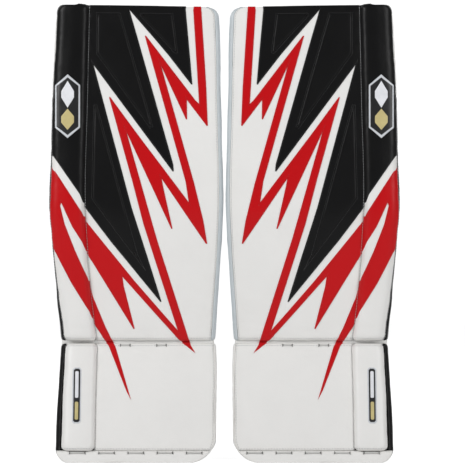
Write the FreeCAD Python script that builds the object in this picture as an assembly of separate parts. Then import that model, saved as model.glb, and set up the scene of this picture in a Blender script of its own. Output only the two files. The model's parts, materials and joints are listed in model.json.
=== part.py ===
import FreeCAD, Part
import math
import os

# A pair of ice hockey goaltender's leg pads, standing upright on their boots.
# X runs across the pair, Y from the front to the back, Z up, in millimetres and degrees.
# The origin is on the floor, midway between the pads and midway through their depth.
# The left pad is modelled on the +X side and the right pad is its mirror image.
#
# A pad has three foam sections, boot, shin and thigh, that fold on two lines across the
# face. Each section is modelled in a frame of its own on its lower or upper fold line:
# x as in the pair, w from the face towards the leg, and s up along the face.

Vector = FreeCAD.Vector

# ---- the pad's face ----
boot_length = 195.0
shin_length = 212.0
thigh_length = 330.0
boot_slope = 13.0  # the toe stands forward of the boot fold
shin_slope = 8.0  # the knee stands forward of the boot fold
thigh_slope = 3.0  # the top leans back from the knee
pair_gap = 4.8
knee_width = 279.6
inner_top_inset = 7.6
outer_top_inset = 12.5
inner_fold_inset = 12.0
outer_fold_inset = 19.5
inner_toe_inset = 11.0
outer_toe_inset = 11.0
inner_top_radius = 14.0
outer_top_radius = 6.0
inner_toe_radius = 42.0
outer_toe_radius = 14.0

# ---- layers of the pad ----
face_thickness = 3.0
core_thickness = 48.0
gusset_thickness = 4.0
roll_rise = 9.0  # how far the outer roll stands proud of the face
roll_edge_radius = 7.0
roll_edge_flat = 1.0  # what a rounded edge leaves of the roll's side
roll_width_top = 51.0
roll_width_knee = 58.0
roll_width_fold = 57.0
roll_width_toe = 64.0
toe_cap_height = 20.0
toe_cap_rise = 2.0

# ---- the two folds: how far each may turn, with the wedge between sections to match ----
fold_clearance = 0.4
boot_fold_back_wedge = 9.0
boot_fold_front_wedge = 13.0
knee_fold_back_wedge = 3.0

# ---- knee and calf padding on the shin ----
seat_clearance = 0.3
section_margin = 10.0  # from the boot fold to the calf padding
knee_margin = 7.0  # from the knee padding to the knee fold
padding_gap = 12.0  # between calf and knee padding
knee_block_height = 93.0
knee_block_width = 85.0
knee_block_thickness = 32.0
knee_block_count = 3
knee_block_inset = 16.0
knee_block_corner = 10.0
liner_thickness = 12.0
liner_gap = 16.0
knee_liner_gap = 4.0
liner_corner = 6.0
wing_thickness = 12.0
wing_corner = 18.0
wing_inset = 18.0

# ---- straps ----
strap_thickness = 2.5
knee_strap_width = 38.0
calf_strap_width = 38.0
boot_strap_width = 32.0
strap_overlap = 10.0  # how far a strap reaches past what it closes on
strap_hem = 4.0
strap_corner = 9.0
keeper_wall = 2.5
keeper_length = 14.0
keeper_clearance = 0.3

# ---- boot ----
flap_thickness = 10.0
flap_reach = 80.0
flap_inset = 16.0
flap_top_margin = 14.0
flap_corner = 22.0
bridge_thickness = 4.0
bridge_height = 26.0
bridge_bend = 10.0
bridge_setback = 19.0  # from the boot's back to the toe bridge
bridge_low = 29.0  # from the toe to the bridge's lower edge, along the boot
screw_radius = 2.5
screw_clearance = 0.05
screw_head_radius = 5.5
screw_head_height = 2.0
screw_pitch = 16.0
screw_margin = 10.0  # from the last screw to the end of the bridge's arm
screw_bend_gap = 0.5
ring_wire_radius = 1.8
ring_radius = 15.0
ring_clearance = 0.25
tab_width = 22.0
tab_thickness = 1.5
tab_length = 22.0
tab_wall = 1.7

# ---- lacing, badge and label ----
lace_width = 2.4
lace_thickness = 1.2
lace_lift = 0.9
lace_leg = 1.6
eyelet_outer_radius = 2.6
eyelet_inner_radius = 1.5
eyelet_height = 0.6
toe_lace_run = 25.0
toe_lace_count = 5
toe_lace_margin = 24.0
toe_lace_drop = 4.0
fold_lace_run = 16.0
fold_lace_drop = 5.0
fold_lace_places = (47.0, 105.0)  # from the seam to the middle of each run
badge_width = 34.0
badge_height = 92.0
badge_shoulder = 23.0
badge_corner = 2.0
badge_thickness = 2.0
badge_place = 165.0
label_width = 14.0
label_height = 88.0
label_corner = 3.0
label_thickness = 1.2
label_place = 89.0

cut_past = 1.0  # how far a cut runs past the face that it opens

# ---- worked out from the sizes above ----
pad_thickness = face_thickness + core_thickness
inner_knee = pair_gap / 2
outer_knee = inner_knee + knee_width
inner_top = inner_knee + inner_top_inset
outer_top = outer_knee - outer_top_inset
inner_fold = inner_knee + inner_fold_inset
outer_fold = outer_knee - outer_fold_inset
inner_toe = inner_knee + inner_toe_inset
outer_toe = outer_knee - outer_toe_inset
seam_top = outer_top - roll_width_top
seam_knee = outer_knee - roll_width_knee
seam_fold = outer_fold - roll_width_fold
seam_toe = outer_toe - roll_width_toe

calf_low = section_margin
knee_high = shin_length - knee_margin
knee_low = knee_high - knee_block_height
calf_high = knee_low - padding_gap
stack_depth = knee_block_count * knee_block_thickness
stack_back = pad_thickness + stack_depth
wing_root = pad_thickness + seat_clearance + wing_thickness / 2
wing_reach = stack_back - wing_root - wing_thickness / 2
wing_back = wing_root + wing_reach + wing_thickness / 2
strap_front = wing_back + seat_clearance
flap_back = pad_thickness + flap_reach
boot_strap_front = flap_back + seat_clearance

slopes = {"boot": -boot_slope, "shin": shin_slope, "thigh": -thigh_slope}


def sine(angle):
    return math.sin(math.radians(angle))


def cosine(angle):
    return math.cos(math.radians(angle))


def tangent(angle):
    return math.tan(math.radians(angle))


knee_back_turn = (shin_slope + thigh_slope + knee_fold_back_wedge) / 2
boot_back_turn = (boot_slope + shin_slope - boot_fold_back_wedge) / 2
boot_front_turn = (boot_slope + shin_slope + boot_fold_front_wedge) / 2
fold_height = boot_length * cosine(boot_slope)
front_reach = (boot_length - toe_cap_height) * sine(boot_slope) + roll_rise * cosine(boot_slope)
keeper_back = strap_front + strap_thickness + keeper_clearance + keeper_wall
calf_strap_low = (calf_low + calf_high - calf_strap_width) / 2
back_reach = keeper_back * cosine(shin_slope) - (calf_strap_low - keeper_wall) * sine(shin_slope)
fold_depth = (front_reach - back_reach) / 2
knee_depth = fold_depth - shin_length * sine(shin_slope)
knee_height = fold_height + shin_length * cosine(shin_slope)
section_origins = {
    "boot": Vector(0, fold_depth, fold_height),
    "shin": Vector(0, fold_depth, fold_height),
    "thigh": Vector(0, knee_depth, knee_height),
}


# ---- shape helpers ----
def rounded_edges(corners):
    """The edges of a closed outline. A corner is (point, radius), and radius 0 keeps it sharp."""
    starts, ends, arcs = [], [], []
    for i, (corner, radius) in enumerate(corners):
        before = (corners[i - 1][0] - corner).normalize()
        after = (corners[(i + 1) % len(corners)][0] - corner).normalize()
        turn = before.getAngle(after) / 2
        back = radius / math.tan(turn) if radius else 0
        first, last = corner + before * back, corner + after * back
        starts.append(first)
        ends.append(last)
        if radius:
            middle = corner + (before + after).normalize() * (radius / math.sin(turn) - radius)
            arcs.append(Part.Arc(first, middle, last).toShape())
    lines = []
    for i, start in enumerate(starts):
        if (start - ends[i - 1]).Length > 1e-6:
            lines.append(Part.LineSegment(ends[i - 1], start).toShape())
    return arcs + lines


def solid_of(corners, along):
    """A closed outline of (point, radius) corners, extruded by the vector."""
    wire = Part.Wire(Part.__sortEdges__(rounded_edges(corners)))
    return Part.Face(wire).extrude(along)


def plate(outline, front, back):
    """An outline of (x, s) or (x, s, radius) points, from w = front to w = back."""
    corners = [(Vector(p[0], front, p[1]), p[2] if len(p) > 2 else 0) for p in outline]
    return solid_of(corners, Vector(0, back - front, 0))


def profile(outline, left, right):
    """An outline of (w, s) or (w, s, radius) points, from x = left to x = right."""
    corners = [(Vector(left, p[0], p[1]), p[2] if len(p) > 2 else 0) for p in outline]
    return solid_of(corners, Vector(right - left, 0, 0))


def column(outline, low, high):
    """An outline of (x, w) or (x, w, radius) points, from s = low to s = high."""
    corners = [(Vector(p[0], p[1], low), p[2] if len(p) > 2 else 0) for p in outline]
    return solid_of(corners, Vector(0, 0, high - low))


def block(left, right, front, back, low, high):
    return Part.makeBox(right - left, back - front, high - low, Vector(left, front, low))


def pin(radius, start, along):
    return Part.makeCylinder(radius, along.Length, start, along)


def placed(shape, section):
    """A shape from its section's frame, put where it stands in the pair."""
    turn = FreeCAD.Rotation(Vector(1, 0, 0), slopes[section])
    stood = shape.copy()
    stood.transformShape(FreeCAD.Placement(section_origins[section], turn).toMatrix())
    return stood


def above_floor(shape):
    """A placed shape without what would reach below the floor."""
    box = shape.BoundBox
    room = Part.makeBox(box.XLength, box.YLength, box.ZMax, Vector(box.XMin, box.YMin, 0))
    return shape.common(room)


# ---- foam sections ----
# A level is (s, inner edge, roll seam, outer edge), and a section has them from low to high.
thigh_levels = [
    (0, inner_knee, seam_knee, outer_knee),
    (thigh_length, inner_top, seam_top, outer_top),
]
shin_levels = [
    (-pad_thickness, inner_fold, seam_fold, outer_fold),
    (0, inner_fold, seam_fold, outer_fold),
    (shin_length, inner_knee, seam_knee, outer_knee),
]
boot_levels = [
    (-boot_length, inner_toe, seam_toe, outer_toe),
    (0, inner_fold, seam_fold, outer_fold),
    (pad_thickness, inner_fold, seam_fold, outer_fold),
]


def between(levels, left, right, front, back):
    """The band between two of the columns of some levels, from w = front to w = back."""
    up = [(level[left], level[0]) for level in levels]
    down = [(level[right], level[0]) for level in reversed(levels)]
    return plate(up + down, front, back)


def level_at(levels, s):
    """The level of a straight-sided section at height s."""
    low, high = levels[0], levels[1]
    share = (s - low[0]) / (high[0] - low[0])
    return tuple(a + share * (b - a) for a, b in zip(low, high))


def thigh_blank():
    low, high = thigh_levels
    corners = [
        (low[1], low[0]),
        (low[3], low[0]),
        (high[3], high[0], outer_top_radius),
        (high[1], high[0], inner_top_radius),
    ]
    side = [
        (-roll_rise, fold_clearance),
        (0, fold_clearance),
        (pad_thickness, fold_clearance + pad_thickness * tangent(knee_back_turn)),
        (pad_thickness, thigh_length),
        (-roll_rise, thigh_length),
    ]
    return plate(corners, -roll_rise, pad_thickness).common(profile(side, 0, outer_knee))


def shin_blank():
    side = [
        (-roll_rise, fold_clearance + roll_rise * tangent(boot_front_turn)),
        (0, fold_clearance),
        (pad_thickness, fold_clearance - pad_thickness * tangent(boot_back_turn)),
        (pad_thickness, shin_length - fold_clearance - pad_thickness * tangent(knee_back_turn)),
        (0, shin_length - fold_clearance),
        (-roll_rise, shin_length - fold_clearance),
    ]
    body = between(shin_levels, 1, 3, -roll_rise, pad_thickness)
    return body.common(profile(side, 0, outer_knee))


def boot_blank():
    toe, fold, above = boot_levels
    corners = [
        (above[1], above[0]),
        (above[3], above[0]),
        (fold[3], fold[0]),
        (toe[3], toe[0], outer_toe_radius),
        (toe[1], toe[0], inner_toe_radius),
        (fold[1], fold[0]),
    ]
    side = [
        (-roll_rise, -fold_clearance - roll_rise * tangent(boot_front_turn)),
        (0, -fold_clearance),
        (pad_thickness, pad_thickness * tangent(boot_back_turn) - fold_clearance),
        (pad_thickness, pad_thickness * tangent(boot_slope) - boot_length),
        (-roll_rise, -roll_rise * tangent(boot_slope) - boot_length),
    ]
    return plate(corners, -roll_rise, pad_thickness).common(profile(side, 0, outer_knee))


def roll(blank, levels):
    """The outer roll, with the long edges of its front rounded."""
    body = blank.common(between(levels, 2, 3, -roll_rise, pad_thickness)).removeSplitter()
    long_edges = []
    for edge in body.Edges:
        a, b = edge.Vertexes[0].Point, edge.Vertexes[-1].Point
        on_front = abs(a.y + roll_rise) < 1e-3 and abs(b.y + roll_rise) < 1e-3
        if on_front and abs(a.z - b.z) > abs(a.x - b.x):
            long_edges.append(edge)
    return body.makeFillet(min(roll_edge_radius, roll_rise - roll_edge_flat), long_edges)


def section_pieces(name, blank, levels, gusset):
    """A section's face, core and roll, with a gusset of its own thickness if it has one."""
    inner = [(s, inner + gusset, seam, inner) for s, inner, seam, outer in levels]
    pieces = {
        f"{name}_face": blank.common(between(levels, 1, 2, 0, face_thickness)),
        f"{name}_core": blank.common(between(inner, 1, 2, face_thickness, pad_thickness)),
        f"{name}_roll": roll(blank, levels),
    }
    if gusset:
        pieces[f"{name}_gusset"] = blank.common(between(inner, 3, 1, face_thickness, pad_thickness))
    return {node: piece.removeSplitter() for node, piece in pieces.items()}


# ---- knee, calf and strap pieces, in the shin's frame ----
calf_level = level_at(shin_levels[1:], calf_low)
knee_level = level_at(shin_levels[1:], knee_low)
calf_inner_x = calf_level[1] + wing_inset
calf_outer_x = calf_level[3] - wing_inset
knee_outer_x = knee_level[3] - wing_inset
block_left = knee_level[1] + knee_block_inset
block_right = block_left + knee_block_width
boot_outer_x = outer_fold - flap_inset
boot_inner_x = inner_fold + flap_inset


def knee_stack():
    """Landing blocks behind the knee, each a little smaller than the one in front."""
    blocks = []
    for i in range(knee_block_count):
        front = pad_thickness + i * knee_block_thickness
        outline = [
            (block_left, knee_low, knee_block_corner),
            (block_right, knee_low, knee_block_corner),
            (block_right, knee_high, knee_block_corner),
            (block_left, knee_high, knee_block_corner),
        ]
        blocks.append(plate(outline, front, front + knee_block_thickness))
    trim = stack_depth * tangent(knee_back_turn)
    cut = profile(
        [
            (pad_thickness, knee_high),
            (stack_back, knee_high - trim),
            (stack_back, knee_low),
            (pad_thickness, knee_low),
        ],
        block_left,
        block_right,
    )
    return Part.makeCompound([b.common(cut) for b in blocks])


def leg_liner():
    """Cushions that line the calf channel and the knee cradle."""
    back = pad_thickness + liner_thickness
    calf_left = calf_inner_x + wing_thickness / 2 + liner_gap
    calf_right = calf_outer_x - wing_thickness / 2 - liner_gap
    knee_left = block_right + knee_liner_gap
    knee_right = knee_outer_x - wing_thickness / 2 - liner_gap
    cushions = []
    for left, right, low, high in (
        (calf_left, calf_right, calf_low, calf_high),
        (knee_left, knee_right, knee_low, knee_high - back * tangent(knee_back_turn)),
    ):
        outline = [
            (left, pad_thickness),
            (right, pad_thickness),
            (right, back, liner_corner),
            (left, back, liner_corner),
        ]
        cushions.append(column(outline, low, high))
    return Part.makeCompound(cushions)


def wing(x, low, high):
    """A padded wing that stands back from the pad, rounded at its sewn root and its free edge."""
    half = wing_thickness / 2
    end = wing_root + wing_reach
    body = Part.makeBox(wing_thickness, wing_reach, high - low, Vector(x - half, wing_root, low))
    root = pin(half, Vector(x, wing_root, low), Vector(0, 0, high - low))
    tip = pin(half, Vector(x, end, low), Vector(0, 0, high - low))
    side = [
        (wing_root - half, low),
        (end + half, low, wing_corner),
        (end + half, high, wing_corner),
        (wing_root - half, high),
    ]
    return body.fuse([root, tip]).removeSplitter().common(profile(side, x - half, x + half))


def strap(root_x, end_x, front, low, width):
    """A flat strap from its sewn root on the outer side to its free end."""
    back = front + strap_thickness
    radius = strap_thickness / 2
    body = block(end_x, root_x, front, back, low, low + width)
    hem = pin(radius, Vector(root_x, front + radius, low), Vector(0, 0, width))
    shape = [
        (end_x, low, strap_corner),
        (root_x + radius, low),
        (root_x + radius, low + width),
        (end_x, low + width, strap_corner),
    ]
    return body.fuse(hem).removeSplitter().common(plate(shape, front, back))


knee_strap_low = (knee_low + knee_high - knee_strap_width) / 2
knee_strap_root = knee_outer_x + strap_hem
calf_strap_root = calf_outer_x + strap_hem
boot_strap_root = boot_outer_x + strap_hem
boot_strap_high = -flap_top_margin - flap_corner
boot_strap_low = boot_strap_high - boot_strap_width
keeper_x = (calf_outer_x + calf_inner_x) / 2


def calf_keeper():
    """A loop that slides along the calf strap."""
    gap = keeper_clearance
    front, back = strap_front - gap, strap_front + strap_thickness + gap
    low, high = calf_strap_low - gap, calf_strap_low + calf_strap_width + gap
    left, right = keeper_x - keeper_length / 2, keeper_x + keeper_length / 2
    wall = keeper_wall
    body = block(left, right, front - wall, back + wall, low - wall, high + wall)
    return body.cut(block(left - cut_past, right + cut_past, front, back, low, high))


# ---- boot pieces, in the boot's frame ----
def boot_sections():
    """The boot's pieces above the toe seam, and the cap of full width below it."""
    blank = boot_blank()
    seam = level_at(boot_levels, toe_cap_height - boot_length)
    pieces = section_pieces("boot", blank, [seam] + boot_levels[1:], 0)
    cap = between([boot_levels[0], seam], 1, 3, -toe_cap_rise, pad_thickness)
    pieces["toe_cap"] = blank.common(cap).removeSplitter()
    return pieces


def screw_holes():
    """Clearance holes for the screws, through both flaps and the bridge between them."""
    left = boot_inner_x - flap_thickness / 2 - cut_past
    right = boot_outer_x + flap_thickness / 2 + cut_past
    holes = []
    for place in screw_places:
        start = Vector(left, place, screw_level)
        holes.append(pin(screw_radius + screw_clearance, start, Vector(right - left, 0, 0)))
    return Part.makeCompound(holes)


def boot_flaps():
    """Side walls of the boot, which stand on the floor behind the toe."""
    below = -boot_length - flap_back
    side = [
        (pad_thickness, -flap_top_margin),
        (pad_thickness, below),
        (flap_back, below),
        (flap_back, -flap_top_margin, flap_corner),
    ]
    half = flap_thickness / 2
    flaps = [profile(side, x - half, x + half) for x in (boot_inner_x, boot_outer_x)]
    return Part.makeCompound(flaps).cut(screw_holes())


bridge_front = pad_thickness + bridge_setback
bridge_bottom = bridge_low - boot_length
screw_level = bridge_bottom + bridge_height / 2
bridge_left = boot_inner_x + flap_thickness / 2
bridge_right = boot_outer_x - flap_thickness / 2
bridge_bend_end = bridge_front + bridge_thickness + bridge_bend
screw_first = bridge_bend_end + screw_head_radius + screw_bend_gap
screw_places = (screw_first, screw_first + screw_pitch)
bridge_end = screw_places[-1] + screw_margin




def toe_bridge():
    """A stiff strap across the boot, with both ends turned back along the flaps."""
    top = bridge_bottom + bridge_height
    wall = bridge_thickness
    outer = [
        (bridge_left, bridge_front, bridge_bend + wall),
        (bridge_right, bridge_front, bridge_bend + wall),
        (bridge_right, bridge_end),
        (bridge_left, bridge_end),
    ]
    inner = [
        (bridge_left + wall, bridge_front + wall, bridge_bend),
        (bridge_right - wall, bridge_front + wall, bridge_bend),
        (bridge_right - wall, bridge_end + cut_past),
        (bridge_left + wall, bridge_end + cut_past),
    ]
    hollow = column(inner, bridge_bottom - cut_past, top + cut_past)
    return column(outer, bridge_bottom, top).cut(hollow).cut(screw_holes())


def toe_bridge_screws():
    """Screws with a head inside the bridge and a cap outside the flap."""
    screws = []
    grip = bridge_thickness + flap_thickness
    left_face, right_face = bridge_left + bridge_thickness, bridge_right - bridge_thickness
    for face_x, outward in ((left_face, -1), (right_face, 1)):
        for place in screw_places:
            start = Vector(face_x, place, screw_level)
            shank = pin(screw_radius, start, Vector(outward * grip, 0, 0))
            head = pin(screw_head_radius, start, Vector(-outward * screw_head_height, 0, 0))
            cap_start = start + Vector(outward * grip, 0, 0)
            cap = pin(screw_head_radius, cap_start, Vector(outward * screw_head_height, 0, 0))
            screws.append(shank.fuse([head, cap]).removeSplitter())
    return Part.makeCompound(screws)


tab_back = bridge_front + bridge_thickness + tab_thickness
ring_bore = ring_wire_radius + ring_clearance
ring_x = (bridge_left + bridge_right) / 2
ring_w = tab_back + ring_bore
ring_s = bridge_bottom + bridge_height - ring_bore - tab_wall


def toe_tab():
    """A tab on the bridge whose rolled top holds the ring's bar."""
    left, right = ring_x - tab_width / 2, ring_x + tab_width / 2
    front = tab_back - tab_thickness
    tail = block(left, right, front, tab_back, ring_s - tab_length, ring_s + ring_bore)
    axis = Vector(tab_width, 0, 0)
    start = Vector(left, ring_w, ring_s)
    tube = pin(ring_bore + tab_wall, start, axis)
    in_front = block(left, right, 0, front, -boot_length, 0)
    return tail.fuse(tube.cut(in_front)).cut(pin(ring_bore, start, axis))


def ring_centre():
    """Where the ring's bar lies in the pair's frame."""
    turn = FreeCAD.Rotation(Vector(1, 0, 0), slopes["boot"])
    return section_origins["boot"] + turn.multVec(Vector(ring_x, ring_w, ring_s))


def toe_ring():
    """A D-shaped ring that hangs straight down from its bar, in the pair's frame."""
    centre = ring_centre()
    bar = pin(ring_wire_radius, centre - Vector(ring_radius, 0, 0), Vector(2 * ring_radius, 0, 0))
    bow = Part.makeTorus(ring_radius, ring_wire_radius, centre, Vector(0, 1, 0))
    reach = ring_radius + 2 * ring_wire_radius
    lower_half = Part.makeBox(2 * reach, 2 * reach, reach, centre - Vector(reach, reach, reach))
    ends = [Part.makeSphere(ring_wire_radius, centre + Vector(k * ring_radius, 0, 0)) for k in (-1, 1)]
    return bar.fuse([bow.common(lower_half)] + ends).removeSplitter()


# ---- lacing, badge and label ----
def lace_runs():
    """(middle x, s, surface w, length) of each run of lace."""
    toe_left = inner_toe + toe_lace_margin
    step = (outer_toe - toe_lace_margin - toe_lace_run - toe_left) / (toe_lace_count - 1)
    level = toe_cap_height - boot_length - toe_lace_drop
    runs = []
    for i in range(toe_lace_count):
        middle = toe_left + i * step + toe_lace_run / 2
        runs.append((middle, level, -toe_cap_rise, toe_lace_run))
    for place in fold_lace_places:
        runs.append((seam_fold - place, -fold_lace_drop, 0, fold_lace_run))
    return runs


def lacing():
    pieces = []
    for middle, s, surface, length in lace_runs():
        left, right = middle - length / 2, middle + length / 2
        top = surface - lace_lift
        half, leg = lace_width / 2, lace_leg / 2
        band = block(left - leg, right + leg, top - lace_thickness, top, s - half, s + half)
        legs = [block(x - leg, x + leg, top, surface, s - leg / 2, s + leg / 2) for x in (left, right)]
        pieces.append(band.fuse(legs).removeSplitter())
    return Part.makeCompound(pieces)


def lace_eyelets():
    rings = []
    for middle, s, surface, length in lace_runs():
        for x in (middle - length / 2, middle + length / 2):
            start, up = Vector(x, surface, s), Vector(0, -eyelet_height, 0)
            rings.append(pin(eyelet_outer_radius, start, up).cut(pin(eyelet_inner_radius, start, up)))
    return Part.makeCompound(rings)


def badge():
    """A pointed, six-sided patch on the thigh's roll."""
    level = level_at(thigh_levels, badge_place)
    x = (level[2] + level[3]) / 2
    half = badge_width / 2
    outline = [
        (x, badge_place - badge_height / 2),
        (x + half, badge_place - badge_shoulder, badge_corner),
        (x + half, badge_place + badge_shoulder, badge_corner),
        (x, badge_place + badge_height / 2),
        (x - half, badge_place + badge_shoulder, badge_corner),
        (x - half, badge_place - badge_shoulder, badge_corner),
    ]
    return plate(outline, -roll_rise - badge_thickness, -roll_rise)


def boot_label():
    """A narrow patch on the boot's roll."""
    level = level_at(boot_levels, -label_place)
    x = (level[2] + level[3]) / 2
    left, right = x - label_width / 2, x + label_width / 2
    low, high = -label_place - label_height / 2, -label_place + label_height / 2
    corners = ((left, low), (right, low), (right, high), (left, high))
    outline = [(x, s, label_corner) for x, s in corners]
    return plate(outline, -roll_rise - label_thickness, -roll_rise)


def thigh_pieces():
    pieces = section_pieces("thigh", thigh_blank(), thigh_levels, gusset_thickness)
    pieces["badge"] = badge()
    return pieces


def shin_pieces():
    pieces = section_pieces("shin", shin_blank(), shin_levels, gusset_thickness)
    pieces["leg_liner"] = leg_liner()
    pieces["knee_stack"] = knee_stack()
    pieces["knee_wing"] = wing(knee_outer_x, knee_low, knee_high - pad_thickness * tangent(knee_back_turn))
    pieces["outer_calf_wing"] = wing(calf_outer_x, calf_low, calf_high)
    pieces["inner_calf_wing"] = wing(calf_inner_x, calf_low, calf_high)
    pieces["knee_strap"] = strap(
        knee_strap_root, block_left + strap_overlap, strap_front, knee_strap_low, knee_strap_width
    )
    pieces["calf_strap"] = strap(
        calf_strap_root, calf_inner_x - strap_overlap, strap_front, calf_strap_low, calf_strap_width
    )
    pieces["calf_keeper"] = calf_keeper()
    return pieces


def boot_pieces():
    pieces = boot_sections()
    pieces["boot_flaps"] = boot_flaps()
    pieces["toe_bridge"] = toe_bridge()
    pieces["toe_bridge_screws"] = toe_bridge_screws()
    pieces["toe_tab"] = toe_tab()
    pieces["boot_strap"] = strap(
        boot_strap_root, boot_inner_x - strap_overlap, boot_strap_front, boot_strap_low, boot_strap_width
    )
    pieces["lacing"] = lacing()
    pieces["lace_eyelets"] = lace_eyelets()
    pieces["boot_label"] = boot_label()
    return pieces


def left_pad():
    """Every piece of the pad on the +X side, where it stands."""
    pad = {}
    for section, pieces in (
        ("thigh", thigh_pieces()),
        ("shin", shin_pieces()),
        ("boot", boot_pieces()),
    ):
        for name, shape in pieces.items():
            pad[name] = placed(shape, section)
    for name in ("boot_flaps", "toe_cap"):
        pad[name] = above_floor(pad[name])
    pad["toe_ring"] = toe_ring()
    return pad


def save(shape, node):
    solids = shape.Solids
    body = solids[0] if len(solids) == 1 else Part.makeCompound(solids)
    body.exportStep(f"parts/{node}.step")
    print(f"{node}: {len(solids)} solid(s), {body.Volume / 1000:.1f} cm3, valid {body.isValid()}")


def main():
    os.makedirs("parts", exist_ok=True)
    for name, shape in left_pad().items():
        save(shape, f"left_{name}")
        save(shape.mirror(Vector(0, 0, 0), Vector(1, 0, 0)), f"right_{name}")


main()
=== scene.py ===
import json
import math

import bmesh
import bpy
import numpy as np
from mathutils import Matrix, Vector, geometry, noise
from mathutils.bvhtree import BVHTree


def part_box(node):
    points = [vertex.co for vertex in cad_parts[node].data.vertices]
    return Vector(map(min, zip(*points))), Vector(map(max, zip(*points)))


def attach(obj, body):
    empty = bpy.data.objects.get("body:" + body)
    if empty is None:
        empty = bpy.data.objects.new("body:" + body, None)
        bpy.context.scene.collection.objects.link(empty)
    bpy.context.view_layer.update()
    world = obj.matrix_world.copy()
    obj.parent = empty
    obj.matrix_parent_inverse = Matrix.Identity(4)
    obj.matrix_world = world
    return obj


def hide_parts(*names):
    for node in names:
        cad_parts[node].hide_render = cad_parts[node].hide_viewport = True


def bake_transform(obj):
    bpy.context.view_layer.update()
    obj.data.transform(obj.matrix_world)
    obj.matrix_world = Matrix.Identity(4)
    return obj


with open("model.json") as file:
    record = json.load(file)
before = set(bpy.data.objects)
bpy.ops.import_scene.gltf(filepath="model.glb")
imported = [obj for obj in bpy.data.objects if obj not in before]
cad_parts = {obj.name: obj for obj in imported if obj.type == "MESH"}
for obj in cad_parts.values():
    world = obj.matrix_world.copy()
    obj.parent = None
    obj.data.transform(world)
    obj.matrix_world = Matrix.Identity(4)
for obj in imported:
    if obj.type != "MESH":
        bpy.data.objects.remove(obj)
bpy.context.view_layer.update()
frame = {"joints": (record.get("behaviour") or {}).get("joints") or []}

mm = 0.001
joints = {joint["name"]: joint for joint in frame["joints"]}
foldAt = np.array(joints["left_boot_flex"]["pos_m"])
kneeAt = np.array(joints["left_knee_flex"]["pos_m"])
shinUp = -np.array(joints["left_knee_wing_swing"]["axis"])
bootUp = -np.array(joints["left_boot_strap_swing"]["axis"])
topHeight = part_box("left_thigh_face")[1].z

# Heights are measured up from the floor and distances out from the plane between the pads, in mm.
padShape = {
    "thickness": 51,
    "thighLean": 3,  # degrees
    "kneeRadius": 20,
    "foldWedge": 6,  # degrees that each cover's end leans away from the fold
    "foldGap": 1.8,  # half of the break between the shin and boot covers
    "toeSeam": 19.5,
    "topFall": 3.6,  # how much lower the top's inner end is
    "rollRise": 9,
    "channel": 11,
    "shoulder": 15,
    "backCorner": 7,
    "innerTopCorner": 15,
    "outerTopCorner": 11,
    "innerToeCorner": 42,
    "outerToeCorner": 22,
    "inner": [(190, 15.5), (213, 13.6), (251, 11.2), (290, 8.3), (328, 5.6), (366, 3.8), (400, 2.4),
              (469, 2.4), (520, 4), (578, 5.4), (648, 6.6), (729, 9.5)],
    "seam": [(190, 206), (233, 212), (302, 218), (418, 224), (560, 221.5), (729, 218)],
    "outer": [(190, 262.5), (213, 264), (251, 268), (290, 270.6), (328, 273.6), (366, 277), (402, 279.4),
              (430, 279.2), (482, 277.4), (546, 276), (610, 275.2), (674, 272.4), (729, 268.6)],
    "bootInner": [(0, 13.6), (90, 13.4), (160, 12.6), (190, 14.6)],
    "bootSeam": [(0, 207.5), (100, 207), (190, 206)],
    "bootOuter": [(0, 270), (60, 268.4), (120, 266), (190, 262.4)],
    "gussetShow": [(190, 6.5), (730, 6.5)],
    "sideShow": [(190, 7), (260, 4.2), (318, 2.2), (400, 2.2), (482, 2.4), (560, 2), (610, 3), (700, 3.4),
                 (730, 2.5)],
    "bootGussetShow": [(0, 2.5), (190, 3.5)],
    "bootSideShow": [(0, 11), (60, 9.2), (190, 8)],
}


def smoothCurve(points):  # a smooth line through (height, distance) points, given and read in mm
    at = np.array([p[0] for p in points], float)
    value = np.array([p[1] for p in points], float)
    slope = np.gradient(value, at)

    def read(height):
        height = np.asarray(height, float)
        i = np.clip(np.searchsorted(at, height) - 1, 0, len(at) - 2)
        span = at[i + 1] - at[i]
        f = np.clip((height - at[i]) / span, 0, 1)
        rise = f * f * (3 - 2 * f)
        bend = slope[i] * f * (1 - f) ** 2 - slope[i + 1] * f * f * (1 - f)
        return value[i] + (value[i + 1] - value[i]) * rise + span * bend

    return read


lines = {name: smoothCurve(padShape[name]) for name in padShape if isinstance(padShape[name], list)}


def cornerInset(distance, radius):  # how far a rounded corner has come in, at a distance from its end
    left = np.clip(radius - distance, 0, radius)
    return radius - np.sqrt(radius * radius - left * left)


def edgesAt(height, boot):  # inner edge, roll seam, outer edge and the two side reveals, mm
    kinds = ("inner", "seam", "outer", "gussetShow", "sideShow")
    if boot:
        kinds = ["boot" + kind[0].upper() + kind[1:] for kind in kinds]
        fromEnd, innerCorner, outerCorner = height, padShape["innerToeCorner"], padShape["outerToeCorner"]
    else:
        fromEnd, innerCorner = topHeight / mm - height, padShape["innerTopCorner"]
        outerCorner = padShape["outerTopCorner"]
    inner, seam, outer, gusset, side = [lines[kind](height) for kind in kinds]
    inner = inner + cornerInset(fromEnd, innerCorner)
    outer = outer - cornerInset(fromEnd, outerCorner)
    return inner, seam, outer, gusset, side


def smoothStep(f):
    f = np.clip(f, 0, 1)
    return f * f * (3 - 2 * f)


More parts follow.
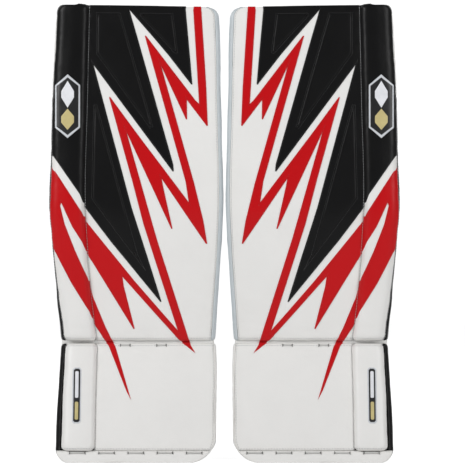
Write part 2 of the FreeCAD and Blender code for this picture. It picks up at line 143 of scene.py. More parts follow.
def onPad(x, depth, height, boot):  # a point of the pad, in mm across, behind the face line and up it
    if boot:
        lean = bootUp[1] / bootUp[2]
        y = foldAt[1] / mm + (height - foldAt[2] / mm) * lean
        flat = 1 - smoothStep(height / 60)
        wedge = 1 - smoothStep((foldAt[2] / mm - height) / 50)
        shift = depth * (lean * flat + math.tan(math.radians(padShape["foldWedge"])) * wedge)
    else:
        fall = np.clip((255 - x) / 245, 0, 1) * smoothStep((height - 670) / 60)  # only near the top
        height = height - padShape["topFall"] * fall
        above = height - kneeAt[2] / mm
        reach = np.sqrt(above * above + padShape["kneeRadius"] ** 2)
        thigh, shin = math.tan(math.radians(padShape["thighLean"])), -shinUp[1] / shinUp[2]
        y = kneeAt[1] / mm + thigh * (above + reach) / 2 + shin * (reach - above) / 2
        lean = thigh * (1 + above / reach) / 2 - shin * (1 - above / reach) / 2
        wedge = 1 - smoothStep((height - foldAt[2] / mm) / 50)
        shift = -depth * math.tan(math.radians(padShape["foldWedge"])) * wedge
    size = np.sqrt(1 + lean * lean)
    back, up = (depth + shift * lean) / size, (shift - depth * lean) / size
    return np.stack([x + 0 * depth, y + back, height + up], -1) * mm


# The pad's outside is made of covers, each a grid of points with rows going up.
def quarter(start, turn, sizes, count=9):  # a quarter of an ellipse in (x, depth) from start
    angle = np.linspace(0, math.pi / 2, count)
    if turn == "down":  # sets off across, ends going back
        return np.stack([start[0] + sizes[0] * np.sin(angle), start[1] + sizes[1] * (1 - np.cos(angle))], -1)
    return np.stack([start[0] + sizes[0] * (1 - np.cos(angle)), start[1] + sizes[1] * np.sin(angle)], -1)


def faceSection(height, boot):
    inner, seam, outer, gusset, side = edgesAt(height, boot)
    across = np.linspace(0, 1, 60)
    depth = -2.2 * np.sin(math.pi * across) ** 0.7
    return np.stack([inner + gusset + (seam - inner - gusset) * across, depth], -1)


def rollSection(height, boot):
    inner, seam, outer, gusset, side = edgesAt(height, boot)
    rise, channel, shoulder = padShape["rollRise"], padShape["channel"], padShape["shoulder"]
    start, end = seam - 1.4, outer - side
    climb = quarter((start, 3.5), "up", (channel, -3.5 - rise), 14)
    fall = quarter((end, 1.5), "up", (-shoulder, -1.5 - rise), 14)[::-1]
    crown = np.linspace(0, 1, 12)[1:-1]
    flat = np.stack([start + channel + (end - shoulder - start - channel) * crown,
                     -rise - 0.9 * np.sin(math.pi * crown)], -1)
    return np.concatenate([climb, flat, fall])


def sideSection(height, boot):
    inner, seam, outer, gusset, side = edgesAt(height, boot)
    back, corner = padShape["thickness"], padShape["backCorner"]
    front = quarter((outer - side, 1.5), "down", (side, 9))
    rear = quarter((outer, back - corner), "up", (-corner, corner))
    return np.concatenate([front, rear])


def backSection(height, boot):
    inner, seam, outer, gusset, side = edgesAt(height, boot)
    across = np.linspace(0, 1, 40)
    depth = padShape["thickness"] + 0.6 * np.sin(math.pi * across)
    start, end = outer - padShape["backCorner"], inner + padShape["backCorner"]
    return np.stack([start + (end - start) * across, depth], -1)


def gussetSection(height, boot):
    inner, seam, outer, gusset, side = edgesAt(height, boot)
    back, corner = padShape["thickness"], padShape["backCorner"]
    rear = quarter((inner + corner, back), "down", (-corner, -corner))
    front = quarter((inner, 8), "up", (gusset, -8))
    return np.concatenate([rear, front])


def capSection(height, boot):  # the toe cap's whole width
    inner, seam, outer, gusset, side = edgesAt(height, boot)
    across = np.linspace(0, 1, 80)
    return np.stack([inner + 2 + (outer - inner - 4) * across, -2.4 + 0 * across], -1)


sections = {"face": faceSection, "roll": rollSection, "side": sideSection, "back": backSection,
            "gusset": gussetSection, "cap": capSection}
edgeSteps = [0, 0.4, 1, 1.8, 2.9, 4.3, 6.2]  # closer together beside a seam


def spread(length, spacing):  # places along a length, closer together at both ends
    ends = [e for e in edgeSteps if e < length / 2 - 0.5]
    count = max(2, round((length - 2 * ends[-1]) / spacing) + 1)
    middle = np.linspace(ends[-1], length - ends[-1], count)[1:-1]
    return np.concatenate([ends, middle, [length - e for e in reversed(ends)]])


def alongCurve(curve, columns):  # a curve read at shares of its length
    steps = np.linalg.norm(np.diff(curve, axis=0), axis=1)
    length = np.concatenate([[0], np.cumsum(steps)])
    return np.stack([np.interp(columns * length[-1], length, curve[:, k]) for k in range(2)], -1)


def gridNormals(points):
    across = np.gradient(points, axis=1)
    up = np.gradient(points, axis=0)
    normal = np.cross(across, up)
    return normal / np.maximum(np.linalg.norm(normal, axis=2, keepdims=True), 1e-12)


def borderDistances(points):  # mm to the left, right, bottom and top borders
    across = np.linalg.norm(np.diff(points, axis=1), axis=2) / mm
    up = np.linalg.norm(np.diff(points, axis=0), axis=2) / mm
    left = np.concatenate([np.zeros((len(points), 1)), np.cumsum(across, axis=1)], axis=1)
    low = np.concatenate([np.zeros((1, points.shape[1])), np.cumsum(up, axis=0)], axis=0)
    return {"left": left, "right": left[:, -1:] - left, "bottom": low, "top": low[-1:] - low}


def ripple(points, size, seed):  # smooth noise from -1 to 1, with waves of about that size in mm
    stretch = np.array(size if isinstance(size, tuple) else (size, size, size)) * mm
    flat = points.reshape(-1, 3) / stretch + seed
    return np.array([noise.noise(Vector(p)) for p in flat]).reshape(points.shape[:2])


class Grid:  # points in rows and columns with their outward directions, read between them too
    def __init__(self, points, normals):
        self.points, self.normals = points, normals

    def read(self, grid, column, row):
        rows, columns = grid.shape[:2]
        column, row = np.asarray(column, float), np.asarray(row, float)
        c = np.clip(np.floor(column).astype(int), 0, columns - 2)
        r = np.clip(np.floor(row).astype(int), 0, rows - 2)
        f, g = (column - c)[:, None], (row - r)[:, None]
        low = grid[r, c] * (1 - f) + grid[r, c + 1] * f
        high = grid[r + 1, c] * (1 - f) + grid[r + 1, c + 1] * f
        return low * (1 - g) + high * g

    def normalAt(self, column, row):
        return self.read(self.normals, column, row)

    def at(self, column, row, lift):  # points over the grid, lifted off it by mm
        out = self.normalAt(column, row) * np.asarray(lift)[:, None]
        return self.read(self.points, column, row) + out * mm


coverFeel = {  # sizes of the leather's unevenness, in mm
    "softWave": 70,
    "smallWave": 24,
    "puckerWave": 9,
    "puckerFrom": 6,  # from the seam
    "puckerReach": 7,
    "creaseWave": (60, 9, 10),
    "creaseDepth": 1.5,
    "creaseReach": 30,
}


class Cover(Grid):  # a panel's outside: pulled in at its seams, puffed between them, creased at a fold
    def __init__(self, points, tucks, seed, puff=0.9, pucker=0.55, foldAtBorder=None):
        normal = gridNormals(points)
        self.distances = borderDistances(points)
        out = ripple(points, coverFeel["softWave"], seed) * puff
        out = out + ripple(points, coverFeel["smallWave"], seed + 5) * puff * 0.35
        nearest = np.full(points.shape[:2], 1e9)
        for border, (drop, radius) in tucks.items():
            distance = self.distances[border]
            nearest = np.minimum(nearest, distance)
            inside = np.clip(1 - distance / radius, 0, 1)
            out = out - drop * (1 - np.sqrt(1 - inside * inside))
        beside = np.exp(-((nearest - coverFeel["puckerFrom"]) / coverFeel["puckerReach"]) ** 2)
        out = out + pucker * ripple(points, coverFeel["puckerWave"], seed + 9) * beside
        if foldAtBorder:
            away = self.distances[foldAtBorder]
            creased = ripple(points, coverFeel["creaseWave"], seed + 13)
            creased = creased * np.exp(-away / coverFeel["creaseReach"]) * np.clip(away / 8, 0, 1)
            out = out + coverFeel["creaseDepth"] * creased
        points = points + normal * out[..., None] * mm
        points[..., 2] = np.maximum(points[..., 2], 0)  # never below the floor
        super().__init__(points, gridNormals(points))
        # closeness to the seams, where the leather gets soiling and painted shade
        self.nearSeam = np.exp(-nearest / 5)


def makeCover(kind, heights, boot, spacing, tucks, seed, **extra):
    widest = max(heights, key=lambda h: np.ptp(sections[kind](h, boot)[:, 0]))
    curve = sections[kind](widest, boot)
    length = np.linalg.norm(np.diff(curve, axis=0), axis=1).sum()
    columns = spread(length, spacing) / length
    grid = []
    for height in heights:
        section = alongCurve(sections[kind](height, boot), columns)
        grid.append(onPad(section[:, 0], section[:, 1], np.full(len(section), height), boot))
    return Cover(np.array(grid), tucks, seed, **extra)


def newPiece(name, points, faces, material, smooth=True, attributes=None):
    mesh = bpy.data.meshes.new(name)
    mesh.from_pydata([tuple(p) for p in points], [], [tuple(int(i) for i in f) for f in faces])
    mesh.materials.append(material)
    for key, values in (attributes or {}).items():
        mesh.attributes.new(key, "FLOAT", "POINT").data.foreach_set("value", np.asarray(values, np.float32))
    for polygon in mesh.polygons:
        polygon.use_smooth = smooth
    mesh.validate()
    piece = bpy.data.objects.new(name, mesh)
    bpy.context.scene.collection.objects.link(piece)
    return piece


def faceOutwards(piece):
    shape = bmesh.new()
    shape.from_mesh(piece.data)
    bmesh.ops.recalc_face_normals(shape, faces=shape.faces)
    shape.to_mesh(piece.data)
    shape.free()
    return piece


def shellPiece(name, cover, thickness, material):  # a panel: its outside, its inside and its cut edges
    rows, columns = cover.points.shape[:2]
    outside = cover.points.reshape(-1, 3)
    inside = (cover.points - cover.normals * thickness * mm).reshape(-1, 3)
    count = rows * columns
    index = np.arange(count).reshape(rows, columns)
    quads = np.stack([index[:-1, :-1], index[:-1, 1:], index[1:, 1:], index[1:, :-1]], -1).reshape(-1, 4)
    faces = [tuple(q) for q in quads] + [tuple(q[::-1] + count) for q in quads]
    border = [*index[0, :], *index[1:, -1], *index[-1, -2::-1], *index[-2:0:-1, 0]]
    for a, b in zip(border, border[1:] + border[:1]):
        faces.append((b, a, a + count, b + count))
    shade = np.tile(cover.nearSeam.reshape(-1), 2)
    points = np.concatenate([outside, inside])
    return faceOutwards(newPiece(name, points, faces, material, attributes={"nearSeam": shade}))


def mirrored(piece, name):
    mesh = piece.data.copy()
    mesh.name = name
    mesh.transform(Matrix.Scale(-1, 4, (1, 0, 0)))
    mesh.flip_normals()
    twin = bpy.data.objects.new(name, mesh)
    bpy.context.scene.collection.objects.link(twin)
    return twin


kneeReach, foldReach = 35 * mm, 12 * mm  # distances from each joint, along the sections below and above it
thighUp = np.array([0, 0.05, 1])
bends = {
    "knee": ("shin", "thigh", kneeAt - shinUp * kneeReach, kneeAt + thighUp * kneeReach),
    "fold": ("boot", "shin", foldAt - bootUp * foldReach, foldAt + shinUp * foldReach),
}


def fit(piece, body, slot, replaces=(), after=None):
    # Names the left piece, makes the right one as its mirror image, and puts both on their bodies; a piece
    # on the knee or the fold stays where it is in the world instead.
    name = piece.name
    twins = {"left": piece, "right": mirrored(piece, "right_" + name)}
    piece.name = piece.data.name = "left_" + name
    for side, twin in twins.items():
        if body in bends:
            below, above, start, end = bends[body]
            side + "_" + below
            side + "_" + above
            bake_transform(twin)
        else:
            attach(twin, side + "_" + body)
        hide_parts(*[side + "_" + node for node in replaces])
        if after:
            after(twin, side)
    return twins


class Wire:  # a shader socket, so that sums on it add its Math nodes
    def __init__(self, tree, socket=None):
        self.tree, self.socket = tree, socket

    def node(self, kind, settings=None, inputs=None, output=0):  # settings go first, then values or links
        made = self.tree.nodes.new(kind)
        for key, value in (settings or {}).items():
            setattr(made, key, value)
        for key, value in (inputs or {}).items():
            self.put(made.inputs[key], value)
        return Wire(self.tree, made.outputs[output])

    def put(self, target, value):
        if isinstance(value, Wire):
            self.tree.links.new(value.socket, target)
        else:
            target.default_value = value

    def maths(self, operation, *values):
        return self.node("ShaderNodeMath", {"operation": operation}, dict(enumerate(values)))

    def sine(self):
        return self.maths("SINE", self)

    def mix(self, colourA, colourB, factor):
        return self.node("ShaderNodeMix", {"data_type": "RGBA"}, {0: factor, 6: colourA, 7: colourB}, 2)

    def place(self):  # the piece's own coordinates
        return self.node("ShaderNodeTexCoord", output="Object")

    def noise(self, place, scale, detail, roughness=0.5):
        return self.node("ShaderNodeTexNoise", {}, {"Vector": place, "Scale": scale, "Detail": detail,
                                                    "Roughness": roughness})

    def attribute(self, name):
        return self.node("ShaderNodeAttribute", {"attribute_name": name}, output="Fac")

    def bump(self, height, strength, depth, **inputs):  # depth in mm
        inputs.update({"Height": height, "Strength": strength, "Distance": depth * mm})
        return self.node("ShaderNodeBump", {}, inputs)

    def __add__(self, other):
        return self.maths("ADD", self, other)

    def __sub__(self, other):
        return self.maths("SUBTRACT", self, other)

    def __rsub__(self, other):
        return self.maths("SUBTRACT", other, self)

    def __mul__(self, other):
        return self.maths("MULTIPLY", self, other)

    __radd__ = __add__
    __rmul__ = __mul__


def startMaterial(name, fixed):
    material = bpy.data.materials.new(name)
    material.use_nodes = True
    shader = material.node_tree.nodes["Principled BSDF"]
    for key, value in fixed.items():
        shader.inputs[key].default_value = value
    return material, Wire(material.node_tree), shader


def finishMaterial(made, colour, roughness, normal=None, coat=None):  # links what changes over the surface
    material, wire, shader = made
    links = {"Base Color": colour, "Roughness": roughness, "Coat Weight": coat, "Normal": normal}
    for key, value in links.items():
        if value is not None:
            wire.put(shader.inputs[key], value)
    return material


def shaded(colour, share):
    return (*[c * share for c in colour], 1)


def paler(colour, share, lift):  # a colour brightened by a share, and a little more
    return (*[c * share + lift for c in colour], 1)


leatherLook = {
    "grain": 1.1,  # mm across one pebble of the grain
    "grainDepth": 0.10,
    "creaseSize": 14,
    "creaseDepth": 0.9,
    "mottleSize": 45,
    # the tint of the soiling and painted shade beside the seams
    "soilAndShadeTint": (0.74, 0.72, 0.66),
}


def leather(name, colour, roughness, soilAndShade=0.10, coat=0.12, shine=0.35):
    # Pebbled and creased, faintly mottled, and duller and darker beside its seams: that darkening is soiling
    # and painted shade.
    made = startMaterial(name, {"Specular IOR Level": shine, "Coat Roughness": 0.28, "Sheen Weight": 0.06,
                                "Sheen Roughness": 0.5})
    wire = made[1]
    place = wire.place()
    pebbles = wire.node("ShaderNodeTexVoronoi", {"feature": "SMOOTH_F1"},
                        {"Vector": place, "Scale": 1000 / leatherLook["grain"], "Smoothness": 0.6})
    crease = wire.noise(place, 1000 / leatherLook["creaseSize"], 5.0, roughness=0.62)
    mottle = wire.noise(place, 1000 / leatherLook["mottleSize"], 3.0)
    # darker beside the seams, by the nearSeam attribute: soiling and painted shade
    wornAndShaded = wire.attribute("nearSeam") * (0.55 + 0.9 * (mottle - 0.5))
    tint = wire.mix(shaded(colour, 1.0), shaded(colour, 0.90), mottle * 0.6)
    soiledAndShaded = [c * t for c, t in zip(colour, leatherLook["soilAndShadeTint"])]
    dark = wire.mix(tint, shaded(soiledAndShaded, 1.0), wornAndShaded * soilAndShade * 4)
    grain = wire.bump(pebbles, 0.35, leatherLook["grainDepth"])
    soft = wire.bump(crease, 0.5, leatherLook["creaseDepth"], Normal=grain)
    rough = roughness + 0.10 * (mottle - 0.5) + 0.16 * wornAndShaded
    return finishMaterial(made, dark, rough, soft, coat - 0.2 * wornAndShaded)


def thread(name, colour):
    made = startMaterial(name, {"Sheen Weight": 0.3, "Specular IOR Level": 0.35})
    wire = made[1]
    twist = wire.noise(wire.place(), 2600.0, 2.0)
    tint = wire.mix(shaded(colour, 0.75), shaded(colour, 1.1), twist)
    return finishMaterial(made, tint, 0.55 + 0.2 * twist)


def fabric(name, colour, threadSize, roughness, ribs=0.0, contrast=0.35, sheen=0.25):
    # A weave on the piece's own place: two crossed waves, with ribs across where asked.
    made = startMaterial(name, {"Specular IOR Level": 0.3, "Sheen Weight": sheen, "Sheen Roughness": 0.45})
    wire = made[1]
    place = wire.place()
    parts = wire.node("ShaderNodeSeparateXYZ", {}, {"Vector": place}).socket.node
    x, y, z = [Wire(wire.tree, parts.outputs[axis]) for axis in "XYZ"]
    turns = 2 * math.pi * 1000 / threadSize
    warp, weft = ((x + y * 0.31) * turns).sine(), ((z + y * 0.43) * turns).sine()
    fuzz = wire.noise(place, 900.0, 4.0, roughness=0.7)
    wear = wire.noise(place, 24.0, 4.0)
    height = 0.5 + 0.32 * (warp * weft) + 0.25 * (fuzz - 0.5)
    if ribs:
        height = height + ribs * (z * (turns / 4)).sine()
    # the colour follows the weave's height, with random fuzz: darker in its hollows and lighter on the
    # raised yarns, painted shade and highlight
    wovenAndShaded = wire.mix(shaded(colour, 1 - contrast), shaded(colour, 1 + contrast), height)
    faded = wire.mix(wovenAndShaded, paler(colour, 1.3, 0.01), 0.5 * wear)
    return finishMaterial(made, faded, roughness + 0.15 * (fuzz - 0.5), wire.bump(height, 0.7, 0.35))


def mouldedPlastic(name, colour, roughness):  # fine speckle under soft scuffs
    made = startMaterial(name, {"Specular IOR Level": 0.5})
    wire = made[1]
    place = wire.place()
    speckle = wire.noise(place, 1400.0, 3.0)
    scuff = wire.noise(place, 60.0, 6.0, roughness=0.7)
    tint = wire.mix(shaded(colour, 0.85), paler(colour, 1.25, 0.004), scuff)
    rough = roughness + 0.22 * (scuff - 0.5) + 0.06 * speckle
    return finishMaterial(made, tint, rough, wire.bump(speckle, 0.25, 0.06))


def metal(name, colour, roughness):  # brushed and a little tarnished
    made = startMaterial(name, {"Metallic": 1.0})
    wire = made[1]
    place = wire.place()
    brush = wire.noise(place, 700.0, 5.0, roughness=0.7)
    tarnish = wire.noise(place, 130.0, 4.0)
    tint = wire.mix(shaded(colour, 0.78), shaded(colour, 1.0), tarnish)
    rough = roughness + 0.18 * (brush - 0.5) + 0.1 * tarnish
    return finishMaterial(made, tint, rough, wire.bump(brush, 0.15, 0.03))


def braided(name, colour):  # lace cord, braided along its own run
    made = startMaterial(name, {"Sheen Weight": 0.2, "Specular IOR Level": 0.3})
    wire = made[1]
    run, aside = wire.attribute("run"), wire.attribute("aside")
    one, two = ((run + aside * 1.2) * 5200.0).sine(), ((run - aside * 1.2) * 5200.0).sine()
    height = 0.5 + 0.5 * (one * two)
    # darker in the braid's hollows: painted shade
    tint = wire.mix(shaded(colour, 0.6), shaded(colour, 1.0), height)
    return finishMaterial(made, tint, 0.6 + 0.15 * height, wire.bump(height, 0.6, 0.25))


def wovenStrap(name, colour):  # webbing: ribs across its width, yarns that step aside at each rib
    made = startMaterial(name, {"Sheen Weight": 0.25, "Specular IOR Level": 0.35, "Sheen Roughness": 0.4})
    wire = made[1]
    run, aside = wire.attribute("run"), wire.attribute("aside")
    rib = (run * 2100.0).sine()
    yarn = (aside * 2600.0 + wire.maths("SIGN", rib)).sine()
    height = 0.55 * wire.maths("ABSOLUTE", rib) + 0.45 * wire.maths("ABSOLUTE", yarn)
    # darker in the hollows between ribs and yarns, lighter on their tops: painted shade and highlight
    tint = wire.mix(shaded(colour, 0.45), shaded(colour, 1.5), height)
    return finishMaterial(made, tint, 0.5 + 0.2 * height, wire.bump(height, 0.6, 0.4))


whiteLeather = leather("whiteLeather", (0.82, 0.815, 0.80), 0.42)
redLeather = leather("redLeather", (0.53, 0.0012, 0.004), 0.38, soilAndShade=0.05, coat=0.05, shine=0.18)
blackLeather = leather("blackLeather", (0.0034, 0.0034, 0.0037), 0.38, soilAndShade=0.02, coat=0.02, shine=0.16)
greyLeather = leather("greyLeather", (0.56, 0.61, 0.64), 0.45)
backingLeather = leather("backingLeather", (0.012, 0.012, 0.0125), 0.50, soilAndShade=0.02, coat=0.05)
pipingLeather = leather("pipingLeather", (0.010, 0.010, 0.011), 0.42, soilAndShade=0.0, coat=0.1)
kneeLeather = leather("kneeLeather", (0.016, 0.016, 0.017), 0.48, soilAndShade=0.03, coat=0.05)
backingNylon = fabric("backingNylon", (0.016, 0.016, 0.018), 1.7, 0.62)
wingSuede = fabric("wingSuede", (0.020, 0.020, 0.022), 0.9, 0.80, contrast=0.15, sheen=0.5)
liningKnit = fabric("liningKnit", (0.10, 0.105, 0.115), 2.1, 0.85, ribs=0.12, contrast=0.45, sheen=0.4)
webbing = wovenStrap("webbing", (0.016, 0.016, 0.018))
webbingTab = fabric("webbingTab", (0.014, 0.014, 0.015), 1.5, 0.6, contrast=0.4)
bridgeNylon = mouldedPlastic("bridgeNylon", (0.018, 0.018, 0.019), 0.42)
eyeletEnamel = mouldedPlastic("eyeletEnamel", (0.010, 0.010, 0.010), 0.30)
plateSteel = metal("plateSteel", (0.62, 0.61, 0.60), 0.24)
patchSilver = mouldedPlastic("patchSilver", (0.55, 0.57, 0.60), 0.30)
patchBlack = mouldedPlastic("patchBlack", (0.008, 0.008, 0.009), 0.35)
patchWhite = mouldedPlastic("patchWhite", (0.72, 0.73, 0.76), 0.28)
patchGold = mouldedPlastic("patchGold", (0.52, 0.44, 0.20), 0.34)
laceCord = braided("laceCord", (0.70, 0.70, 0.68))
greyThread = thread("greyThread", (0.52, 0.53, 0.54))
redThread = thread("redThread", (0.42, 0.006, 0.01))
blackThread = thread("blackThread", (0.035, 0.035, 0.037))
greyBlackThread = thread("greyBlackThread", (0.045, 0.045, 0.047))
print("materials made")


def rowHeights(low, high, spacing):
    return low + spread(high - low, spacing)


foldHeight = foldAt[2] / mm
sideBreak = 586  # where the side panel turns from black to white
upperRows = rowHeights(foldHeight + padShape["foldGap"], topHeight / mm, 4.2)
bootRows = rowHeights(padShape["toeSeam"], foldHeight - padShape["foldGap"], 3.6)
lowRows = np.concatenate([[0, 0.4, 1.2, 2.4, 4, 6.5], np.linspace(9.5, padShape["toeSeam"], 4)])
tallBootRows = np.concatenate([lowRows[:-1], bootRows])
lowSideRows, highSideRows = upperRows[upperRows < sideBreak], upperRows[upperRows > sideBreak - 5]

# How far each border is pulled in, and over what width, in mm: (drop, radius).
softSides = {"left": (0.8, 2.2), "right": (0.8, 2.2)}
faceSides = {"left": (1.6, 4), "right": (2.4, 5)}
rollSides = {"left": (0.4, 1.5), "right": (0.8, 2.2)}


def upperCover(kind, rows, spacing, sidesIn, bottom, top, seed, **extra):
    return makeCover(kind, rows, False, spacing, {**sidesIn, "bottom": bottom, "top": top}, seed, **extra)


def bootCover(kind, rows, spacing, sidesIn, bottom, top, seed, **extra):
    return makeCover(kind, rows, True, spacing, {**sidesIn, "bottom": bottom, "top": top}, seed, **extra)


upper = {
    "face": upperCover("face", upperRows, 4.2, faceSides, (3.6, 8), (2.5, 5), 1.3, foldAtBorder="bottom"),
    "roll": upperCover("roll", upperRows, 3.4, rollSides, (8, 9), (6, 8), 2.1, foldAtBorder="bottom"),
    "side": upperCover("side", lowSideRows, 4.5, softSides, (3, 6), (0.8, 2), 3.7),
    "highSide": upperCover("side", highSideRows, 4.5, softSides, (0.8, 2), (1.5, 4), 3.9),
    "back": upperCover("back", upperRows, 7, softSides, (1, 3), (1.5, 4), 4.9),
    "gusset": upperCover("gusset", upperRows, 4.5, softSides, (3, 6), (1.5, 4), 5.3),
}
capSides = {"left": (2, 3), "right": (2, 3)}
boot = {
    "face": bootCover("face", bootRows, 3.6, faceSides, (1.6, 3), (3.2, 7), 6.1,
                      puff=0.7, foldAtBorder="top"),
    "roll": bootCover("roll", bootRows, 3.4, rollSides, (7, 7), (8, 9), 7.7, foldAtBorder="top"),
    "side": bootCover("side", tallBootRows, 4.5, softSides, (1, 2), (3, 6), 8.2),
    "back": bootCover("back", tallBootRows, 7, softSides, (0.2, 2), (1, 3), 9.4),
    "gusset": bootCover("gusset", tallBootRows, 4.5, softSides, (0.2, 2), (3, 6), 10.6),
    "cap": bootCover("cap", lowRows, 4.2, capSides, (3.2, 5), (1.8, 2.6), 11.8, puff=0.3),
}
print("covers shaped")

panelThickness = 1.6
upperPanels = (
    ("face", whiteLeather, "white_leather", ("thigh_face", "shin_face")),
    ("roll", whiteLeather, "white_leather", ("thigh_roll", "shin_roll")),
    ("side", blackLeather, "black_leather", ()),
    ("highSide", whiteLeather, "white_leather", ()),
    ("back", backingNylon, "backing_nylon", ("thigh_core", "shin_core")),
    ("gusset", greyLeather, "grey_leather", ("thigh_gusset", "shin_gusset")),
)
bootPanels = (
    ("face", whiteLeather, "white_leather", ("boot_face",)),
    ("roll", whiteLeather, "white_leather", ("boot_roll",)),
    ("side", blackLeather, "black_leather", ()),
    ("back", backingNylon, "backing_nylon", ("boot_core",)),
    ("gusset", whiteLeather, "white_leather", ()),
    ("cap", whiteLeather, "white_leather", ("toe_cap",)),
)
covered = (("upper", upper, upperPanels, "knee"), ("boot", boot, bootPanels, "boot"))
for prefix, covers, panels, body in covered:
    for kind, material, slot, stoodFor in panels:
        name = prefix + kind[0].upper() + kind[1:]
        fit(shellPiece(name, covers[kind], panelThickness, material), body, slot, stoodFor)
print("panels made")


# The graphics are leather shapes sewn onto the covers.
class Front(Grid):  # the face and roll of a section side by side, for shapes that run across both
    def __init__(self, face, roll, heights):
        super().__init__(np.concatenate([face.points, roll.points], axis=1),
                         np.concatenate([face.normals, roll.normals], axis=1))
        self.heights = np.asarray(heights)
        self.across = self.points[..., 0] / mm
        self.split = face.points.shape[1] - 1
        self.lastColumn, self.lastRow = self.across.shape[1] - 1, len(self.heights) - 1

    def coordinates(self, x, height):  # column and row of points given across and up, mm, on past the edges
        past = 1 / 4  # rows or columns for each mm
        low, high = self.heights[0], self.heights[-1]
        rows = np.interp(height, self.heights, np.arange(self.lastRow + 1))
        rows = rows + np.maximum(height - high, 0) * past + np.minimum(height - low, 0) * past
        found = []
        for px, row in zip(x, rows):
            r = int(np.clip(math.floor(row), 0, self.lastRow - 1))
            f = float(np.clip(row - r, 0, 1))
            line = np.maximum.accumulate(self.across[r] * (1 - f) + self.across[r + 1] * f)
            column = np.interp(px, line, np.arange(self.lastColumn + 1))
            found.append(column + max(px - line[-1], 0) * past + min(px - line[0], 0) * past)
        return np.array(found), rows


upperFront = Front(upper["face"], upper["roll"], upperRows)
bootFront = Front(boot["face"], boot["roll"], bootRows)


def cornerOffsets(outline):  # unit steps inward at each corner, so that both edges move in by 1
    points = np.array(outline, float)
    area = np.sum(points[:, 0] * np.roll(points[:, 1], -1) - np.roll(points[:, 0], -1) * points[:, 1])
    if area < 0:
        points = points[::-1]
    edge = np.roll(points, -1, axis=0) - points
    edge /= np.linalg.norm(edge, axis=1, keepdims=True)
    inward = np.stack([-edge[:, 1], edge[:, 0]], -1)
    before = np.roll(inward, 1, axis=0)
    middle = before + inward
    step = middle / np.maximum((middle * inward).sum(1, keepdims=True), 0.02)
    return points, inward, step


def edgePath(outline, spacing):  # points along the outline's edges, with the step in that each would take
    points, inward, step = cornerOffsets(outline)
    path, shift = [], []
    count = len(points)
    for i in range(count):
        a, b = points[i], points[(i + 1) % count]
        length = np.linalg.norm(b - a)
        along = (b - a) / length
        path.append(a)
        shift.append(step[i])
        reachA, reachB = [abs(np.dot(step[k % count], along)) * 1.6 + 0.6 for k in (i, i + 1)]
        room = length - reachA - reachB
        if room > 1:
            for f in np.linspace(0, 1, max(2, int(room / spacing) + 1)):
                path.append(a + along * (reachA + room * f))
                shift.append(inward[i])
    return np.array(path), np.array(shift)


def blunted(outline, width):  # sharp tips cut square, where the outline turns back on itself
    points, inward, step = cornerOffsets(outline)
    result = []
    count = len(points)
    for i in range(count):
        before, after = points[i - 1] - points[i], points[(i + 1) % count] - points[i]
        lengths = np.linalg.norm(before), np.linalg.norm(after)
        before, after = before / lengths[0], after / lengths[1]
        half = math.acos(np.clip(np.dot(before, after), -1, 1)) / 2
        convex = before[0] * after[1] - before[1] * after[0] < 0
        cut = width / 2 / math.sin(half) if half > 0.001 else 0
        if convex and half < math.radians(28) and cut < min(lengths) / 3:
            result += [points[i] + before * cut, points[i] + after * cut]
        else:
            result.append(points[i])
    return np.array(result)


def applique(name, outline, front, lift, bevel, material, base=0.0, tip=1.8):
    # A thin shape laid on the covers with a rounded edge, cut along their grid and trimmed at their borders.
    path, shift = edgePath(blunted(outline, tip), 5)
    loops = []
    for inset, height in ((0, -0.25), (0, lift * 0.45), (bevel * 0.35, lift * 0.85), (bevel, lift)):
        moved = path + shift * inset
        columns, rows = front.coordinates(moved[:, 0], moved[:, 1])
        loops.append(np.stack([columns, np.full(len(moved), base + height), rows], -1))
    count = len(path)
    vertices = np.concatenate(loops)
    faces = []
    for k in range(len(loops) - 1):
        for i in range(count):
            j = (i + 1) % count
            faces.append((k * count + i, k * count + j, (k + 1) * count + j, (k + 1) * count + i))
    top = [Vector((p[0], p[2], 0)) for p in loops[-1]]
    start = (len(loops) - 1) * count
    faces += [tuple(start + i for i in triangle) for triangle in geometry.tessellate_polygon([top])]
    mesh = bpy.data.meshes.new(name)
    mesh.from_pydata([tuple(v) for v in vertices], [], faces)
    shape = bmesh.new()
    shape.from_mesh(mesh)
    bpy.data.meshes.remove(mesh)
    low, high = vertices.min(0), vertices.max(0)
    for axis, last, normal in ((0, front.lastColumn, (1, 0, 0)), (2, front.lastRow, (0, 0, 1))):
        for line in range(max(0, math.ceil(low[axis])), min(last, math.floor(high[axis])) + 1):
            everything = shape.verts[:] + shape.edges[:] + shape.faces[:]
            bmesh.ops.bisect_plane(shape, geom=everything, plane_co=Vector(normal) * line, plane_no=normal,
                                   dist=1e-5)
    doomed = []
    for face in shape.faces:
        column, height, row = face.calc_center_median()
        onGrid = 0 <= column <= front.lastColumn and 0 <= row <= front.lastRow
        if not onGrid or front.split < column < front.split + 1:  # the seam between face and roll stays bare
            doomed.append(face)
    bmesh.ops.delete(shape, geom=doomed, context="FACES")
    co = np.array([v.co[:] for v in shape.verts])
    placed = front.at(co[:, 0], co[:, 2], co[:, 1])
    for vertex, point in zip(shape.verts, placed):
        vertex.co = point
    bmesh.ops.dissolve_degenerate(shape, dist=1e-6, edges=shape.edges[:])
    bmesh.ops.triangulate(shape, faces=[f for f in shape.faces if len(f.verts) > 4])
    bmesh.ops.recalc_face_normals(shape, faces=shape.faces)
    up = sum((f.normal * f.calc_area() for f in shape.faces), Vector())
    if up.y > 0:
        bmesh.ops.reverse_faces(shape, faces=shape.faces[:])
    made = bpy.data.meshes.new(name)
    shape.to_mesh(made)
    shape.free()
    made.materials.append(material)
    for polygon in made.polygons:
        polygon.use_smooth = True
    piece = bpy.data.objects.new(name, made)
    bpy.context.scene.collection.objects.link(piece)
    return piece


